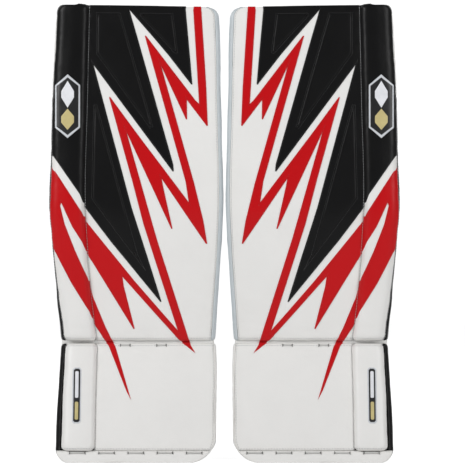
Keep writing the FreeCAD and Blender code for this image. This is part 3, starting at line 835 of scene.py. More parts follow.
# Corners of the coloured shapes, as (distance out, height) in mm. Those past an edge are trimmed there.
redOutline = [
    (49.5, 740), (38, 740), (29, 596), (26.5, 533), (60, 577), (59.5, 542), (101, 631), (48, 443),
    (33.5, 384), (27, 344), (100, 451), (98, 440), (81, 364), (156, 525), (108, 356), (54, 184),
    (46.5, 172), (69, 189), (163, 295), (161, 280), (142.5, 206), (218, 330), (227, 352), (242, 376),
    (259.5, 413), (261, 408), (254, 380), (237.5, 337), (219, 295), (210, 262), (191, 215), (174, 180),
    (149, 98), (157, 113), (185, 182), (208, 218), (216, 240), (244, 286), (274, 344), (290, 366),
    (290, 490), (275, 470.5), (268.6, 461.6), (227, 398), (222, 386), (208, 368), (145, 290), (75, 209),
    (129, 379), (147, 448), (185.5, 586), (141.5, 526), (57, 414), (62, 447), (128.5, 684), (46, 576),
    (40.5, 571), (50, 724),
]
blackOutline = [
    (290, 740), (290, 515), (276, 492), (230, 426), (223, 407), (208, 386.5), (181, 351), (99.5, 251),
    (122, 324), (148, 406), (209, 633), (114, 505), (80.5, 460), (81.6, 474), (152, 723), (89, 648),
    (51, 599), (62, 724), (63, 740), (136, 740),
]
raisedOutlines = {
    "raisedPeak": [(135, 716), (76, 650), (84, 716)],
    "raisedMiddle": [(203, 716), (168, 716), (114, 528), (203, 652)],
    "raisedLower": [(207, 576), (210, 420), (134, 318), (140, 330)],
}
graphics = {"redLift": 0.9, "blackLift": 0.9, "bevel": 0.6, "raised": 1.5, "raisedBevel": 2.6}
fronts = (("upper", upperFront, "knee"), ("boot", bootFront, "boot"))


for name, outline, material in (("Red", redOutline, redLeather), ("Black", blackOutline, blackLeather)):
    for prefix, front, body in fronts:
        if min(height for x, height in outline) < front.heights[-1]:
            piece = applique(prefix + name + "Graphic", outline, front, graphics[name.lower() + "Lift"],
                             graphics["bevel"], material)
            fit(piece, body, name.lower() + "_leather")
for name, outline in raisedOutlines.items():
    fit(applique(name, outline, upperFront, graphics["raised"], graphics["raisedBevel"], blackLeather,
                 graphics["blackLift"] - 0.2), "knee", "black_leather")
print("graphics sewn on")


def resample(points, pitch, others=(), closed=False):  # equal steps along a line and what goes with it
    points = np.asarray(points, float)
    if closed:
        points = np.concatenate([points, points[:1]])
        others = [np.concatenate([o, o[:1]]) for o in others]
    steps = np.linalg.norm(np.diff(points, axis=0), axis=1)
    length = np.concatenate([[0], np.cumsum(steps)])
    count = max(2, int(round(length[-1] / pitch)) + 1)
    at = np.linspace(0, length[-1], count)
    if closed:
        at = at[:-1]
    return [np.stack([np.interp(at, length, line[:, k]) for k in range(line.shape[1])], -1)
            for line in (points, *others)]


def alongLine(points, closed=False):
    if closed:
        step = np.roll(points, -1, axis=0) - np.roll(points, 1, axis=0)
    else:
        step = np.gradient(points, axis=0)
    return step / np.maximum(np.linalg.norm(step, axis=1, keepdims=True), 1e-12)


def sweep(name, points, normals, section, material, closed=False):
    # Carries a section of (aside, outward) points, in mm, along a line.
    along = alongLine(points, closed)
    outward = normals - along * (normals * along).sum(1, keepdims=True)
    outward /= np.maximum(np.linalg.norm(outward, axis=1, keepdims=True), 1e-12)
    aside = np.cross(along, outward)
    section = np.asarray(section, float) * mm
    rings = points[:, None] + aside[:, None] * section[None, :, :1] + outward[:, None] * section[None, :, 1:]
    count, around = rings.shape[:2]
    faces = []
    for i in range(count if closed else count - 1):
        for k in range(around):
            a, b = i * around, (i + 1) % count * around
            faces.append((a + k, b + k, b + (k + 1) % around, a + (k + 1) % around))
    if not closed:
        faces += [tuple(range(around)), tuple(range(count * around - around, count * around))]
    run = np.concatenate([[0], np.cumsum(np.linalg.norm(np.diff(points, axis=0), axis=1))])
    attributes = {"run": np.repeat(run, around), "aside": np.tile(section[:, 0], count)}
    return faceOutwards(newPiece(name, rings.reshape(-1, 3), faces, material, attributes=attributes))


def oval(width, thickness, count=8, square=2.0):
    angle = np.linspace(0, 2 * math.pi, count, endpoint=False)
    c, s = np.cos(angle), np.sin(angle)
    return np.stack([np.sign(c) * np.abs(c) ** (2 / square) * width / 2,
                     np.sign(s) * np.abs(s) ** (2 / square) * thickness / 2], -1)


def repeatTree(kind):  # copies a small shape onto every point, turned by "along" and "surface"
    tree = bpy.data.node_groups.new(kind, "GeometryNodeTree")
    face = tree.interface
    face.new_socket("Geometry", in_out="INPUT", socket_type="NodeSocketGeometry")
    for size in ("Length", "Width", "Height"):
        face.new_socket(size, in_out="INPUT", socket_type="NodeSocketFloat")
    face.new_socket("Material", in_out="INPUT", socket_type="NodeSocketMaterial")
    face.new_socket("Geometry", in_out="OUTPUT", socket_type="NodeSocketGeometry")

    def add(node, inputs=None, **settings):
        made = tree.nodes.new(node)
        for key, value in settings.items():
            setattr(made, key, value)
        for key, value in (inputs or {}).items():
            if isinstance(value, bpy.types.NodeSocket):
                tree.links.new(value, made.inputs[key])
            else:
                made.inputs[key].default_value = value
        return made

    given = add("NodeGroupInput").outputs
    if kind == "stitches":
        ball = add("GeometryNodeMeshUVSphere", {"Segments": 6, "Rings": 5, "Radius": 0.5}).outputs["Mesh"]
        size = add("ShaderNodeCombineXYZ", {"X": given["Height"], "Y": given["Width"], "Z": given["Length"]})
        laid = add("GeometryNodeTransform", {"Geometry": ball, "Scale": size.outputs[0],
                                             "Rotation": (0, math.pi / 2, 0)})
    else:
        bore = add("ShaderNodeMath", {0: given["Width"], 1: 2.0}, operation="DIVIDE").outputs[0]
        lip = add("ShaderNodeMath", {0: given["Height"], 1: 2.0}, operation="DIVIDE").outputs[0]
        hoop = add("GeometryNodeCurvePrimitiveCircle", {"Resolution": 14, "Radius": bore}).outputs["Curve"]
        edge = add("GeometryNodeCurvePrimitiveCircle", {"Resolution": 6, "Radius": lip}).outputs["Curve"]
        laid = add("GeometryNodeCurveToMesh", {"Curve": hoop, "Profile Curve": edge})
    smooth = add("GeometryNodeSetShadeSmooth", {"Geometry": laid.outputs[0]}).outputs[0]
    along, surface = [add("GeometryNodeInputNamedAttribute", {"Name": name}, data_type="FLOAT_VECTOR")
                      for name in ("along", "surface")]
    first = add("FunctionNodeAlignRotationToVector", {"Vector": along.outputs["Attribute"]}, axis="X")
    outward = {"Rotation": first.outputs[0], "Vector": surface.outputs["Attribute"]}
    turned = add("FunctionNodeAlignRotationToVector", outward, axis="Z", pivot_axis="X")
    copies = add("GeometryNodeInstanceOnPoints", {"Points": given["Geometry"], "Instance": smooth,
                                                  "Rotation": turned.outputs[0]})
    real = add("GeometryNodeRealizeInstances", {"Geometry": copies.outputs[0]})
    painted = add("GeometryNodeSetMaterial", {"Geometry": real.outputs[0], "Material": given["Material"]})
    tree.links.new(painted.outputs[0], add("NodeGroupOutput").inputs["Geometry"])
    return tree


trees = {kind: repeatTree(kind) for kind in ("stitches", "eyelets")}


def repeatAlong(name, kind, places, sizes, material):  # places: lists of (points, normals, directions)
    mesh = bpy.data.meshes.new(name)
    points, normals, along = [np.concatenate([p[k] for p in places]) for k in range(3)]
    mesh.from_pydata([tuple(p) for p in points], [], [])
    for key, directions in (("surface", normals), ("along", along)):
        attribute = mesh.attributes.new(key, "FLOAT_VECTOR", "POINT")
        attribute.data.foreach_set("vector", directions.astype(np.float32).ravel())
    source = bpy.data.objects.new(name + "Points", mesh)
    bpy.context.scene.collection.objects.link(source)
    modifier = source.modifiers.new(kind, "NODES")
    modifier.node_group = trees[kind]
    values = {"Length": sizes[0] * mm, "Width": sizes[1] * mm, "Height": sizes[2] * mm, "Material": material}
    for item in trees[kind].interface.items_tree:
        if item.in_out == "INPUT" and item.name in values:
            modifier[item.identifier] = values[item.name]
    depsgraph = bpy.context.evaluated_depsgraph_get()
    made = bpy.data.meshes.new_from_object(source.evaluated_get(depsgraph), preserve_all_data_layers=True,
                                           depsgraph=depsgraph)
    bpy.data.objects.remove(source)
    made.name = name
    piece = bpy.data.objects.new(name, made)
    bpy.context.scene.collection.objects.link(piece)
    return piece


stitching = {"pitch": 4.4, "length": 3.3, "width": 0.85, "height": 0.7, "lift": 0.15}


def stitched(points, normals, pitch=None, closed=False):
    points, normals = resample(points, (pitch or stitching["pitch"]) * mm, [normals], closed)
    return points, normals, alongLine(points, closed)


stitchSize = (stitching["length"], stitching["width"], stitching["height"])


def sew(name, places, material, body, slot, size=stitchSize):
    fit(repeatAlong(name, "stitches", places, size, material), body, slot)


def besideBorder(cover, border, distance, lift=None, trim=2):  # a line of points beside a cover's border
    grid = cover.distances[border]
    rows, columns = grid.shape
    if border in ("left", "right"):
        row = np.arange(trim, rows - trim).astype(float)
        column = []
        for r in range(trim, rows - trim):
            line = grid[r] if border == "left" else grid[r][::-1]
            place = np.interp(distance, line, np.arange(columns))
            column.append(place if border == "left" else columns - 1 - place)
        column = np.array(column)
    else:
        column = np.arange(trim, columns - trim).astype(float)
        row = []
        for c in range(trim, columns - trim):
            line = grid[:, c] if border == "bottom" else grid[::-1, c]
            place = np.interp(distance, line, np.arange(rows))
            row.append(place if border == "bottom" else rows - 1 - place)
        row = np.array(row)
    lifts = np.full(len(column), stitching["lift"] if lift is None else lift)
    return cover.at(column, row, lifts), cover.normalAt(column, row)


def seamLines(covers, seams):  # a line of stitches for each (cover, border, distance in, lift)
    return [stitched(*besideBorder(covers[seam[0]], *seam[1:])) for seam in seams]


upperSeams = (("face", "right", 2.6, 1.1), ("face", "left", 2.4, None), ("face", "bottom", 4.6, None),
              ("roll", "bottom", 5.2, None), ("roll", "right", 3.0, 1.1))
upperSideSeams = (("side", "right", 3.2, None), ("side", "left", 6.0, None), ("back", "left", 4, None),
                  ("back", "right", 4, None), ("back", "top", 5, None), ("back", "bottom", 5, None),
                  ("gusset", "left", 3.2, None))
bootSeams = (("face", "right", 2.6, None), ("face", "left", 2.4, None), ("face", "top", 4.2, None),
             ("roll", "top", 5.2, None), ("face", "bottom", 2.6, None), ("roll", "bottom", 3.4, None),
             ("side", "right", 3.2, None), ("back", "left", 4, None), ("back", "right", 4, None),
             ("back", "top", 5, None), ("back", "bottom", 5, None), ("gusset", "left", 3.2, None))
sew("upperSeamStitches", seamLines(upper, upperSeams), greyThread, "knee", "lace")
sew("upperSideStitches", seamLines(upper, upperSideSeams), greyThread, "knee", "lace")
sew("bootSeamStitches", seamLines(boot, bootSeams), greyThread, "boot", "lace")


def outlineStitches(outline, front, inset, lift, pitch=3.2):  # just inside the edge of a sewn shape
    path, shift = edgePath(blunted(outline, 2.4), 3)
    moved = path + shift * inset
    column, row = front.coordinates(moved[:, 0], moved[:, 1])
    inside = (column > 0.5) & (column < front.lastColumn - 0.5) & (row > 0.5) & (row < front.lastRow - 0.5)
    inside &= (column < front.split - 0.3) | (column > front.split + 1.3)
    column, row = np.clip(column, 0, front.lastColumn), np.clip(row, 0, front.lastRow)
    points, normals = front.at(column, row, np.full(len(column), lift)), front.normalAt(column, row)
    places, run = [], []
    for i, seen in enumerate([*inside, False]):
        if seen:
            run.append(i)
            continue
        if len(run) > 2:
            places.append(stitched(points[run], normals[run], pitch))
        run = []
    return places


fineStitch = (2.3, 0.55, 0.5)
for name, outline, material in (("Red", redOutline, redThread), ("Black", blackOutline, blackThread)):
    for prefix, front, body in fronts:
        places = outlineStitches(outline, front, 1.7, graphics[name.lower() + "Lift"] + 0.05)
        if places:
            sew(prefix + name + "Stitches", places, material, body, name.lower() + "_leather", fineStitch)
raisedStitches = []
for outline in raisedOutlines.values():
    raisedStitches += outlineStitches(outline, upperFront, -1.6, graphics["blackLift"] + 0.1, 3.0)
sew("raisedPanelStitches", raisedStitches, greyBlackThread, "knee", "black_leather", fineStitch)
print("seams stitched")


def endLid(name, covers, row, depth, rise, material, body, slot, bead=None, beadMaterial=None):
    # Closes the covers' end with a flat lid just inside their edges, and a bead round it where asked.
    ring = np.concatenate([c.points[row] - c.normals[row] * panelThickness / 2 * mm for c in covers])
    ring, = resample(ring, 3 * mm, closed=True)
    count = len(ring)
    middle = ring.mean(0)
    away = (ring - middle) * (1, 1, 0)
    away /= np.linalg.norm(away, axis=1, keepdims=True)
    lower = ring + np.array((0, 0, -depth)) * mm
    upperRing = ring + np.array((0, 0, rise * 0.3)) * mm
    inner = ring - away * 5 * mm + np.array((0, 0, rise)) * mm
    points = np.concatenate([lower, upperRing, inner])
    faces = []
    for k in (0, 1):
        for i in range(count):
            j = (i + 1) % count
            faces.append((k * count + i, k * count + j, (k + 1) * count + j, (k + 1) * count + i))
    for start in (0, 2 * count):
        flat = [Vector((p[0], p[1], 0)) for p in points[start:start + count]]
        faces += [tuple(start + i for i in triangle) for triangle in geometry.tessellate_polygon([flat])]
    fit(faceOutwards(newPiece(name, points, faces, material)), body, slot)
    if bead:
        path = ring - away * bead * 0.9 * mm + np.array((0, 0, -0.2)) * mm * np.sign(depth)
        up = np.tile((0, 0, 1.0), (count, 1))
        fit(sweep(name + "Bead", path, up, oval(bead * 2, bead * 2), beadMaterial, closed=True), body, slot)


def around(covers, *kinds):
    return [covers[kind] for kind in kinds]


topRing = around(upper, "face", "roll", "highSide", "back", "gusset")
shinRing = around(upper, "face", "roll", "side", "back", "gusset")
bootRing = around(boot, "face", "roll", "side", "back", "gusset")
soleRing = around(boot, "cap", "side", "back", "gusset")
endLid("topLid", topRing, -1, 2.5, 1.2, backingNylon, "thigh", "backing_nylon", 1.5, blackLeather)
endLid("shinEnd", shinRing, 0, -2.5, -0.6, whiteLeather, "shin", "white_leather")
endLid("bootEnd", bootRing, -1, 2.5, 0.6, whiteLeather, "boot", "white_leather")
endLid("sole", soleRing, 0, -2.5, 0, backingNylon, "boot", "backing_nylon")

foldStrip = {  # closes the gap between the shin and boot covers, set back behind them
    "reach": 7.5,
    "setBack": 3.2,
    "hollow": 2.2,  # deeper again at its top and bottom
    "margin": 1.5,
    "rows": 9,
    "columns": 90,
    "red": [((53.5, 60.4), (58.2, 76.5)), ((175.2, 185.3), (182.5, 194.9))],  # at the bottom, at the top
}
stripEdges = edgesAt(foldHeight + padShape["foldGap"], False)
stripEnds = stripEdges[0] + foldStrip["margin"], stripEdges[2] - foldStrip["margin"]
stripAcross = np.linspace(*stripEnds, foldStrip["columns"])
stripGrid = []
for height in np.linspace(-foldStrip["reach"], foldStrip["reach"], foldStrip["rows"]):
    depth = foldStrip["setBack"] + foldStrip["hollow"] * abs(height) / foldStrip["reach"] + 0 * stripAcross
    point = onPad(stripAcross, depth, np.full(len(stripAcross), foldHeight), False)
    stripGrid.append(point + np.array((0, 0, height)) * mm)
strip = Cover(np.array(stripGrid), {"left": (2, 4), "right": (2, 4)}, 12.5, puff=0.2)
fit(shellPiece("foldStrip", strip, 1.2, whiteLeather), "fold", "white_leather")
for k, (low, high) in enumerate(foldStrip["red"]):  # the red shapes carry on over the strip
    grid = []
    for share in np.linspace(0.06, 0.94, 12):
        ends = np.array(low) + (np.array(high) - np.array(low)) * share
        column = np.interp(np.linspace(ends[0], ends[1], 16), stripAcross, np.arange(len(stripAcross)))
        grid.append(strip.at(column, np.full(16, share * (foldStrip["rows"] - 1)), np.full(16, 0.5)))
    patch = Cover(np.array(grid), {}, 13.1 + k, puff=0, pucker=0)
    fit(shellPiece(f"foldStripRed{k}", patch, 0.7, redLeather), "fold", "red_leather")
print("ends closed")


# Lacing at the toe and the fold: short runs, each held in two eyelets.
lacingSizes = {
    "toeRuns": 5,
    "toeRun": 25,
    "toeMargin": 24,
    "toeLevel": 15.6,
    "foldPlaces": (47, 105),  # in from the roll's seam
    "foldRun": 16,
    "foldLevel": 184.6,
    "width": 2.6,
    "thickness": 1.1,
    "lift": 0.9,
    "eyelet": 3.6,
    "rim": 1.0,
}


def laceRun(name, cover, start, length, steps, height, rows):  # up out of one eyelet and down into the next
    across = start + np.linspace(0, length, steps)
    across = np.concatenate([[start, start + 0.6], across[1:-1], [across[-1] - 0.6, across[-1]]])
    profile = np.concatenate([[-1.2, 0.2], np.full(len(across) - 4, lacingSizes["lift"]), [0.2, -1.2]])
    row = np.interp(height, rows, np.arange(len(rows)))
    line = cover.points[int(row), :, 0] / mm
    column = np.interp(across, line, np.arange(len(line)))
    where = np.full(len(across), row)
    points, normals = cover.at(column, where, profile), cover.normalAt(column, where)
    section = oval(lacingSizes["width"], lacingSizes["thickness"], 10, 2.6)
    piece = sweep(name, points, normals, section, laceCord)
    ends = [0, -1]
    holes = cover.at(column[ends], where[ends], np.full(2, 0.2)), normals[ends], alongLine(points)[ends]
    return piece, holes


laced = []
left = float(lines["bootInner"](20)) + lacingSizes["toeMargin"]
right = float(lines["bootOuter"](20)) - lacingSizes["toeMargin"] - lacingSizes["toeRun"]
for k in range(lacingSizes["toeRuns"]):
    start = left + (right - left) * k / (lacingSizes["toeRuns"] - 1)
    laced.append(laceRun(f"toeLace{k}", boot["cap"], start, lacingSizes["toeRun"], 12,
                         lacingSizes["toeLevel"], lowRows))
for k, place in enumerate(lacingSizes["foldPlaces"]):
    start = float(lines["bootSeam"](foldHeight)) - place - lacingSizes["foldRun"] / 2
    laced.append(laceRun(f"foldLace{k}", boot["face"], start, lacingSizes["foldRun"], 10,
                         lacingSizes["foldLevel"], bootRows))


def joined(name, pieces):
    mesh = bmesh.new()
    for piece in pieces:
        mesh.from_mesh(piece.data)
    first = pieces[0]
    mesh.to_mesh(first.data)
    mesh.free()
    for piece in pieces[1:]:
        bpy.data.objects.remove(piece)
    first.name = first.data.name = name
    return first


fit(joined("laces", [lace for lace, holes in laced]), "boot", "lace", ("lacing",))
rims = repeatAlong("eyelets", "eyelets", [holes for lace, holes in laced],
                   (1, lacingSizes["eyelet"], lacingSizes["rim"]), eyeletEnamel)
fit(rims, "boot", "eyelet_black", ("lace_eyelets",))
print("laces tied")


def hexagon(x, z, width, height, shoulder):
    half = width / 2
    return [(x, z - height / 2), (x + half, z - shoulder), (x + half, z + shoulder), (x, z + height / 2),
            (x - half, z + shoulder), (x - half, z - shoulder)]


def bar(x, low, high, width, cut):
    half = width / 2
    return [(x - half, low + cut), (x - half + cut, low), (x + half - cut, low), (x + half, low + cut),
            (x + half, high - cut), (x + half - cut, high), (x - half + cut, high), (x - half, high - cut)]


# Each layer is an outline, its thickness, its height over the cover and its finish.
badge = {"height": 566, "width": 39, "tall": 102, "shoulder": 34, "rim": 5}
badgeX = (float(lines["seam"](badge["height"])) + float(lines["outer"](badge["height"]))) / 2 + 1
badgeZ = badge["height"]
badgeLayers = [
    (hexagon(badgeX, badgeZ, badge["width"], badge["tall"], badge["shoulder"]), 0.9, 0, patchSilver),
    (hexagon(badgeX, badgeZ, badge["width"] - badge["rim"], badge["tall"] - 2 * badge["rim"],
             badge["shoulder"] - 1.4), 0.5, 0.75, patchBlack),
    (hexagon(badgeX, badgeZ + 19, 20, 43, 5), 0.5, 1.1, patchWhite),
    (hexagon(badgeX, badgeZ - 21, 20, 34, 5), 0.5, 1.1, patchGold),
]
label = {"height": 105, "low": 60, "high": 148, "width": 14}
labelX = (float(lines["bootSeam"](label["height"])) + float(lines["bootOuter"](label["height"]))) / 2 - 1.5
labelLayers = [
    (bar(labelX, label["low"], label["high"], label["width"], 3), 0.6, 0, patchSilver),
    (bar(labelX, label["low"] + 2, label["high"] - 2, label["width"] - 3.5, 2.4), 0.3, 0.5, patchBlack),
    (bar(labelX, 100, 142, 5.4, 1.2), 0.3, 0.7, patchWhite),
    (bar(labelX, 66, 94, 5.4, 1.2), 0.3, 0.7, patchGold),
]


def layerOn(name, layers, front, bevel, base, body, node):
    for k, (outline, thick, over, material) in enumerate(layers):
        piece = applique(f"{name}Layer{k}", outline, front, thick, bevel, material, base + over, tip=0.6)
        fit(piece, body, "patch_black", (node,) if k == 0 else ())


layerOn("badge", badgeLayers, upperFront, 0.5, graphics["blackLift"], "thigh", "badge")
layerOn("label", labelLayers, bootFront, 0.4, 0, "boot", "boot_label")
print("badge and label on")


# The cushions are foam blocks in leather or knit.
class Section:  # coordinates across, back from the face and up one rigid section, in mm
    def __init__(self, up):
        self.up = np.array(up)
        self.back = np.array((0, up[2], -up[1]))

    def place(self, points):
        points = np.asarray(points, float)
        x, w, s = points[..., 0:1], points[..., 1:2], points[..., 2:3]
        return foldAt * (0, 1, 1) + (x * np.array((1, 0, 0)) + w * self.back + s * self.up) * mm

    def read(self, points):
        away = np.asarray(points, float) - foldAt * (0, 1, 1)
        return np.stack([away[..., 0], away @ self.back, away @ self.up], -1) / mm


shinSection, bootSection = Section(shinUp), Section(bootUp)


def nodePoints(node, section):
    mesh = bpy.data.objects[node].data
    points = np.empty(len(mesh.vertices) * 3)
    mesh.vertices.foreach_get("co", points)
    return section.read(points.reshape(-1, 3))


def objectPoints(piece):
    points = np.empty(len(piece.data.vertices) * 3)
    piece.data.vertices.foreach_get("co", points)
    return points.reshape(-1, 3)


def setPoints(piece, points):
    piece.data.vertices.foreach_set("co", np.asarray(points, np.float64).ravel())
    piece.data.update()


def applied(piece):  # the piece's mesh with its modifiers worked in
    depsgraph = bpy.context.evaluated_depsgraph_get()
    mesh = bpy.data.meshes.new_from_object(piece.evaluated_get(depsgraph), depsgraph=depsgraph)
    piece.modifiers.clear()
    old, piece.data = piece.data, mesh
    bpy.data.meshes.remove(old)
    return piece


def inflate(piece, pressure, most):  # air pressure swells the cover, held to the most a point may move, mm
    start = objectPoints(piece)
    cloth = piece.modifiers.new("cloth", "CLOTH")
    cloth.settings.use_pressure = True
    cloth.settings.uniform_pressure_force = pressure
    cloth.settings.effector_weights.gravity = 0
    cloth.settings.quality = 4
    cloth.collision_settings.use_collision = False
    cloth.point_cache.frame_start, cloth.point_cache.frame_end = 1, 20
    for frameNumber in range(1, 21):
        bpy.context.scene.frame_set(frameNumber)
    applied(piece)
    bpy.context.scene.frame_set(1)
    move = objectPoints(piece) - start
    size = np.linalg.norm(move, axis=1, keepdims=True)
    setPoints(piece, start + move * np.minimum(1, most * mm / np.maximum(size, 1e-9)))


def cushion(name, points, section, material, channels, shrink, most, voxel):
    # A pad over the given points' hull: a little smaller, remeshed, swollen and given its sewn channels.
    low, high = points.min(0), points.max(0)
    middle, half = (low + high) / 2, (high - low) / 2
    points = middle + (points - middle) * (1 - np.asarray(shrink) / half)
    shape = bmesh.new()
    for p in section.place(points):
        shape.verts.new(p)
    bmesh.ops.convex_hull(shape, input=shape.verts)
    loose = [v for v in shape.verts if not v.link_faces]
    bmesh.ops.delete(shape, geom=loose, context="VERTS")
    bmesh.ops.recalc_face_normals(shape, faces=shape.faces)
    mesh = bpy.data.meshes.new(name)
    shape.to_mesh(mesh)
    shape.free()
    mesh.materials.append(material)
    piece = bpy.data.objects.new(name, mesh)
    bpy.context.scene.collection.objects.link(piece)
    remesh = piece.modifiers.new("remesh", "REMESH")
    remesh.mode, remesh.voxel_size = "VOXEL", voxel * mm
    applied(piece)
    inflate(piece, 4.0, most)
    smoothing = piece.modifiers.new("subdivision", "SUBSURF")
    smoothing.levels = smoothing.render_levels = 1
    applied(piece)
    where = section.read(objectPoints(piece))
    if channels:
        normals = np.empty(len(piece.data.vertices) * 3)
        piece.data.vertices.foreach_get("normal", normals)
        sink = channels(where, low, high)
        setPoints(piece, objectPoints(piece) - normals.reshape(-1, 3) * sink[:, None] * mm)
    low, high = where.min(0), where.max(0)
    rim = np.minimum(where - low, high - where)
    # closeness to the edges, where the leather gets soiling and painted shade
    nearSeam = np.exp(-np.sort(rim, axis=1)[:, 1] / 5)
    attribute = piece.data.attributes.new("nearSeam", "FLOAT", "POINT")
    attribute.data.foreach_set("value", nearSeam.astype(np.float32))
    for polygon in piece.data.polygons:
        polygon.use_smooth = True
    if not piece.data.materials:
        piece.data.materials.append(material)
    return piece


def groove(distance, width):
    return np.exp(-(distance / width) ** 2)


def wingChannels(where, low, high):  # a seam round the edge and two channels up the middle
    w, s = where[:, 1], where[:, 2]
    edge = np.minimum(high[1] - w, np.minimum(s - low[2], high[2] - s))
    middle = [groove(w - (low[1] + (high[1] - low[1]) * f), 1.8) for f in (0.34, 0.62)]
    return 1.2 * groove(edge - 9, 1.6) + (edge > 10) * sum(middle) * 1.2


def linerChannels(where, low, high):  # a seam round the edge and channels across
    s = where[:, 2]
    edge = np.minimum(where - low, high - where)[:, [0, 2]].min(1)
    count = max(2, round((high[2] - low[2]) / 23))
    across = sum(groove(s - (low[2] + (high[2] - low[2]) * k / count), 1.8) for k in range(1, count))
    return (where[:, 1] > low[1] + 6) * ((edge > 6) * across * 1.5 + groove(edge - 6, 1.5))


def padSoftly():
    return lambda twin, side: twin


cushionSizes = {  # made this much smaller (across, back, up), free to swell by the most, in mm
    "wing": {"shrink": (2.2, 1.6, 1.6), "most": 2.2, "voxel": 4},
    "block": {"shrink": (3.0, 1.6, 3.0), "most": 3.0, "voxel": 4.5},
    "liner": {"shrink": (2.5, 1.2, 2.5), "most": 2.4, "voxel": 4.2},
    "flap": {"shrink": (1.6, 1.6, 0.8), "most": 1.5, "voxel": 4},
}
cushionPlaces = {
    "blocks": 3,
    "block": 32,  # each block's thickness
    "linerSplit": 106,  # up the shin, between the calf's liner and the knee's
    "flapSplit": 138,  # across, between the two boot flaps
    "flapBottom": 10,  # the inner flap ends this high, behind the toe's round corner
}
wingPads = {}
for node in ("knee_wing", "outer_calf_wing", "inner_calf_wing"):
    points = nodePoints("left_" + node, shinSection)
    wingPads[node] = cushion(node.replace("_", "") + "Pad", points, shinSection, wingSuede, wingChannels,
                             **cushionSizes["wing"])
print("wings filled")
blockPoints = nodePoints("left_knee_stack", shinSection)
blocks = []
for k in range(cushionPlaces["blocks"]):
    front, back = [padShape["thickness"] + cushionPlaces["block"] * step for step in (k, k + 1)]
    inside = blockPoints[(blockPoints[:, 1] > front - 0.1) & (blockPoints[:, 1] < back + 0.1)]
    blocks.append(cushion(f"kneeBlock{k}", inside, shinSection, kneeLeather, None, **cushionSizes["block"]))
linerPoints = nodePoints("left_leg_liner", shinSection)
atKnee = linerPoints[:, 2] > cushionPlaces["linerSplit"]
liners = [cushion(name, points, shinSection, liningKnit, linerChannels, **cushionSizes["liner"])
          for name, points in (("calfLiner", linerPoints[~atKnee]), ("kneeLiner", linerPoints[atKnee]))]
flapPoints = nodePoints("left_boot_flaps", bootSection)
outer = flapPoints[:, 0] > cushionPlaces["flapSplit"]
innerFlap = bootSection.place(flapPoints[~outer])
innerFlap[:, 2] = np.maximum(innerFlap[:, 2], cushionPlaces["flapBottom"] * mm)
flapOutlines = {"inner": bootSection.read(innerFlap), "outer": flapPoints[outer]}
flaps = {key: cushion(key + "BootFlap", points, bootSection, backingLeather, None, **cushionSizes["flap"])
         for key, points in flapOutlines.items()}
print("cushions filled")


def surfaceLine(piece, points, directions, lift=0.1):  # drops a line onto a piece's surface
    tree = BVHTree.FromObject(piece, bpy.context.evaluated_depsgraph_get())
    found, normals = [], []
    for point, direction in zip(points, directions):
        hit, normal, index, distance = tree.ray_cast(Vector(point), Vector(direction))
        if hit:
            found.append(np.array(hit) + np.array(normal) * lift * mm)
            normals.append(np.array(normal))
    return np.array(found), np.array(normals)


def hullOutline(points, inset):  # the outline of (back, up) points, moved in
    flat = [Vector((p[1], p[2])) for p in points]
    order = geometry.convex_hull_2d(flat)
    outline = np.array([flat[i][:] for i in order])
    keep = [0]
    for i in range(1, len(outline)):
        if np.linalg.norm(outline[i] - outline[keep[-1]]) > 0.6:
            keep.append(i)
    corners, inward, step = cornerOffsets(outline[keep])
    return corners + step * inset


def edgeTrim(name, points, section, piece, radius, stitchInset):
    # Piping round the edge of a flat pad, and a line of stitches inside it on both faces.
    middle = (points[:, 0].min() + points[:, 0].max()) / 2
    line, = resample(hullOutline(points, radius * 0.9), 3.0, closed=True)
    path = section.place(np.column_stack([np.full(len(line), middle), line]))
    across = np.tile((1.0, 0, 0), (len(path), 1))
    bead = oval(radius * 2, radius * 2, 8)
    piping = sweep(name + "Piping", path, across, bead, pipingLeather, closed=True)
    line, = resample(hullOutline(points, stitchInset), 3.0, closed=True)
    places = []
    for direction in (-1, 1):
        start = section.place(np.column_stack([np.full(len(line), middle + direction * 30), line]))
        found, normals = surfaceLine(piece, start, np.tile((-direction * 1.0, 0, 0), (len(start), 1)))
        if len(found) > 4:
            places.append(stitched(found, normals))
    threads = repeatAlong(name + "Stitches", "stitches", places, stitchSize, greyThread)
    return piping, threads


for node, piece in wingPads.items():
    points = nodePoints("left_" + node, shinSection)
    piping, threads = edgeTrim(node.replace("_", ""), points, shinSection, piece, 1.9, 9)
    fit(piece, node, "wing_leather", (node,), after=padSoftly())
    fit(piping, node, "wing_leather")
    fit(threads, node, "lace")
for key, piece in flaps.items():
    piping, threads = edgeTrim(key + "Flap", flapOutlines[key], bootSection, piece, 1.7, 7)
    fit(piece, "boot", "black_leather", ("boot_flaps",), after=padSoftly())
    fit(piping, "boot", "black_leather")
    fit(threads, "boot", "lace")
for piece in blocks:
    fit(piece, "shin", "knee_leather", ("knee_stack",), after=padSoftly())
for piece in liners:
    fit(piece, "shin", "lining_knit", ("leg_liner",), after=padSoftly())
print("cushions sewn")


strapSizes = {
    "thickness": 2.3,
    "corner": 7,  # at the free end
    "hook": 60,  # the sewn patch near the free end, and how far in it starts
    "hookFrom": 10,
    "box": 22,  # the sewn box at the root, and how far in its middle is
    "boxFrom": 20,
    "pitch": 3.4,
}


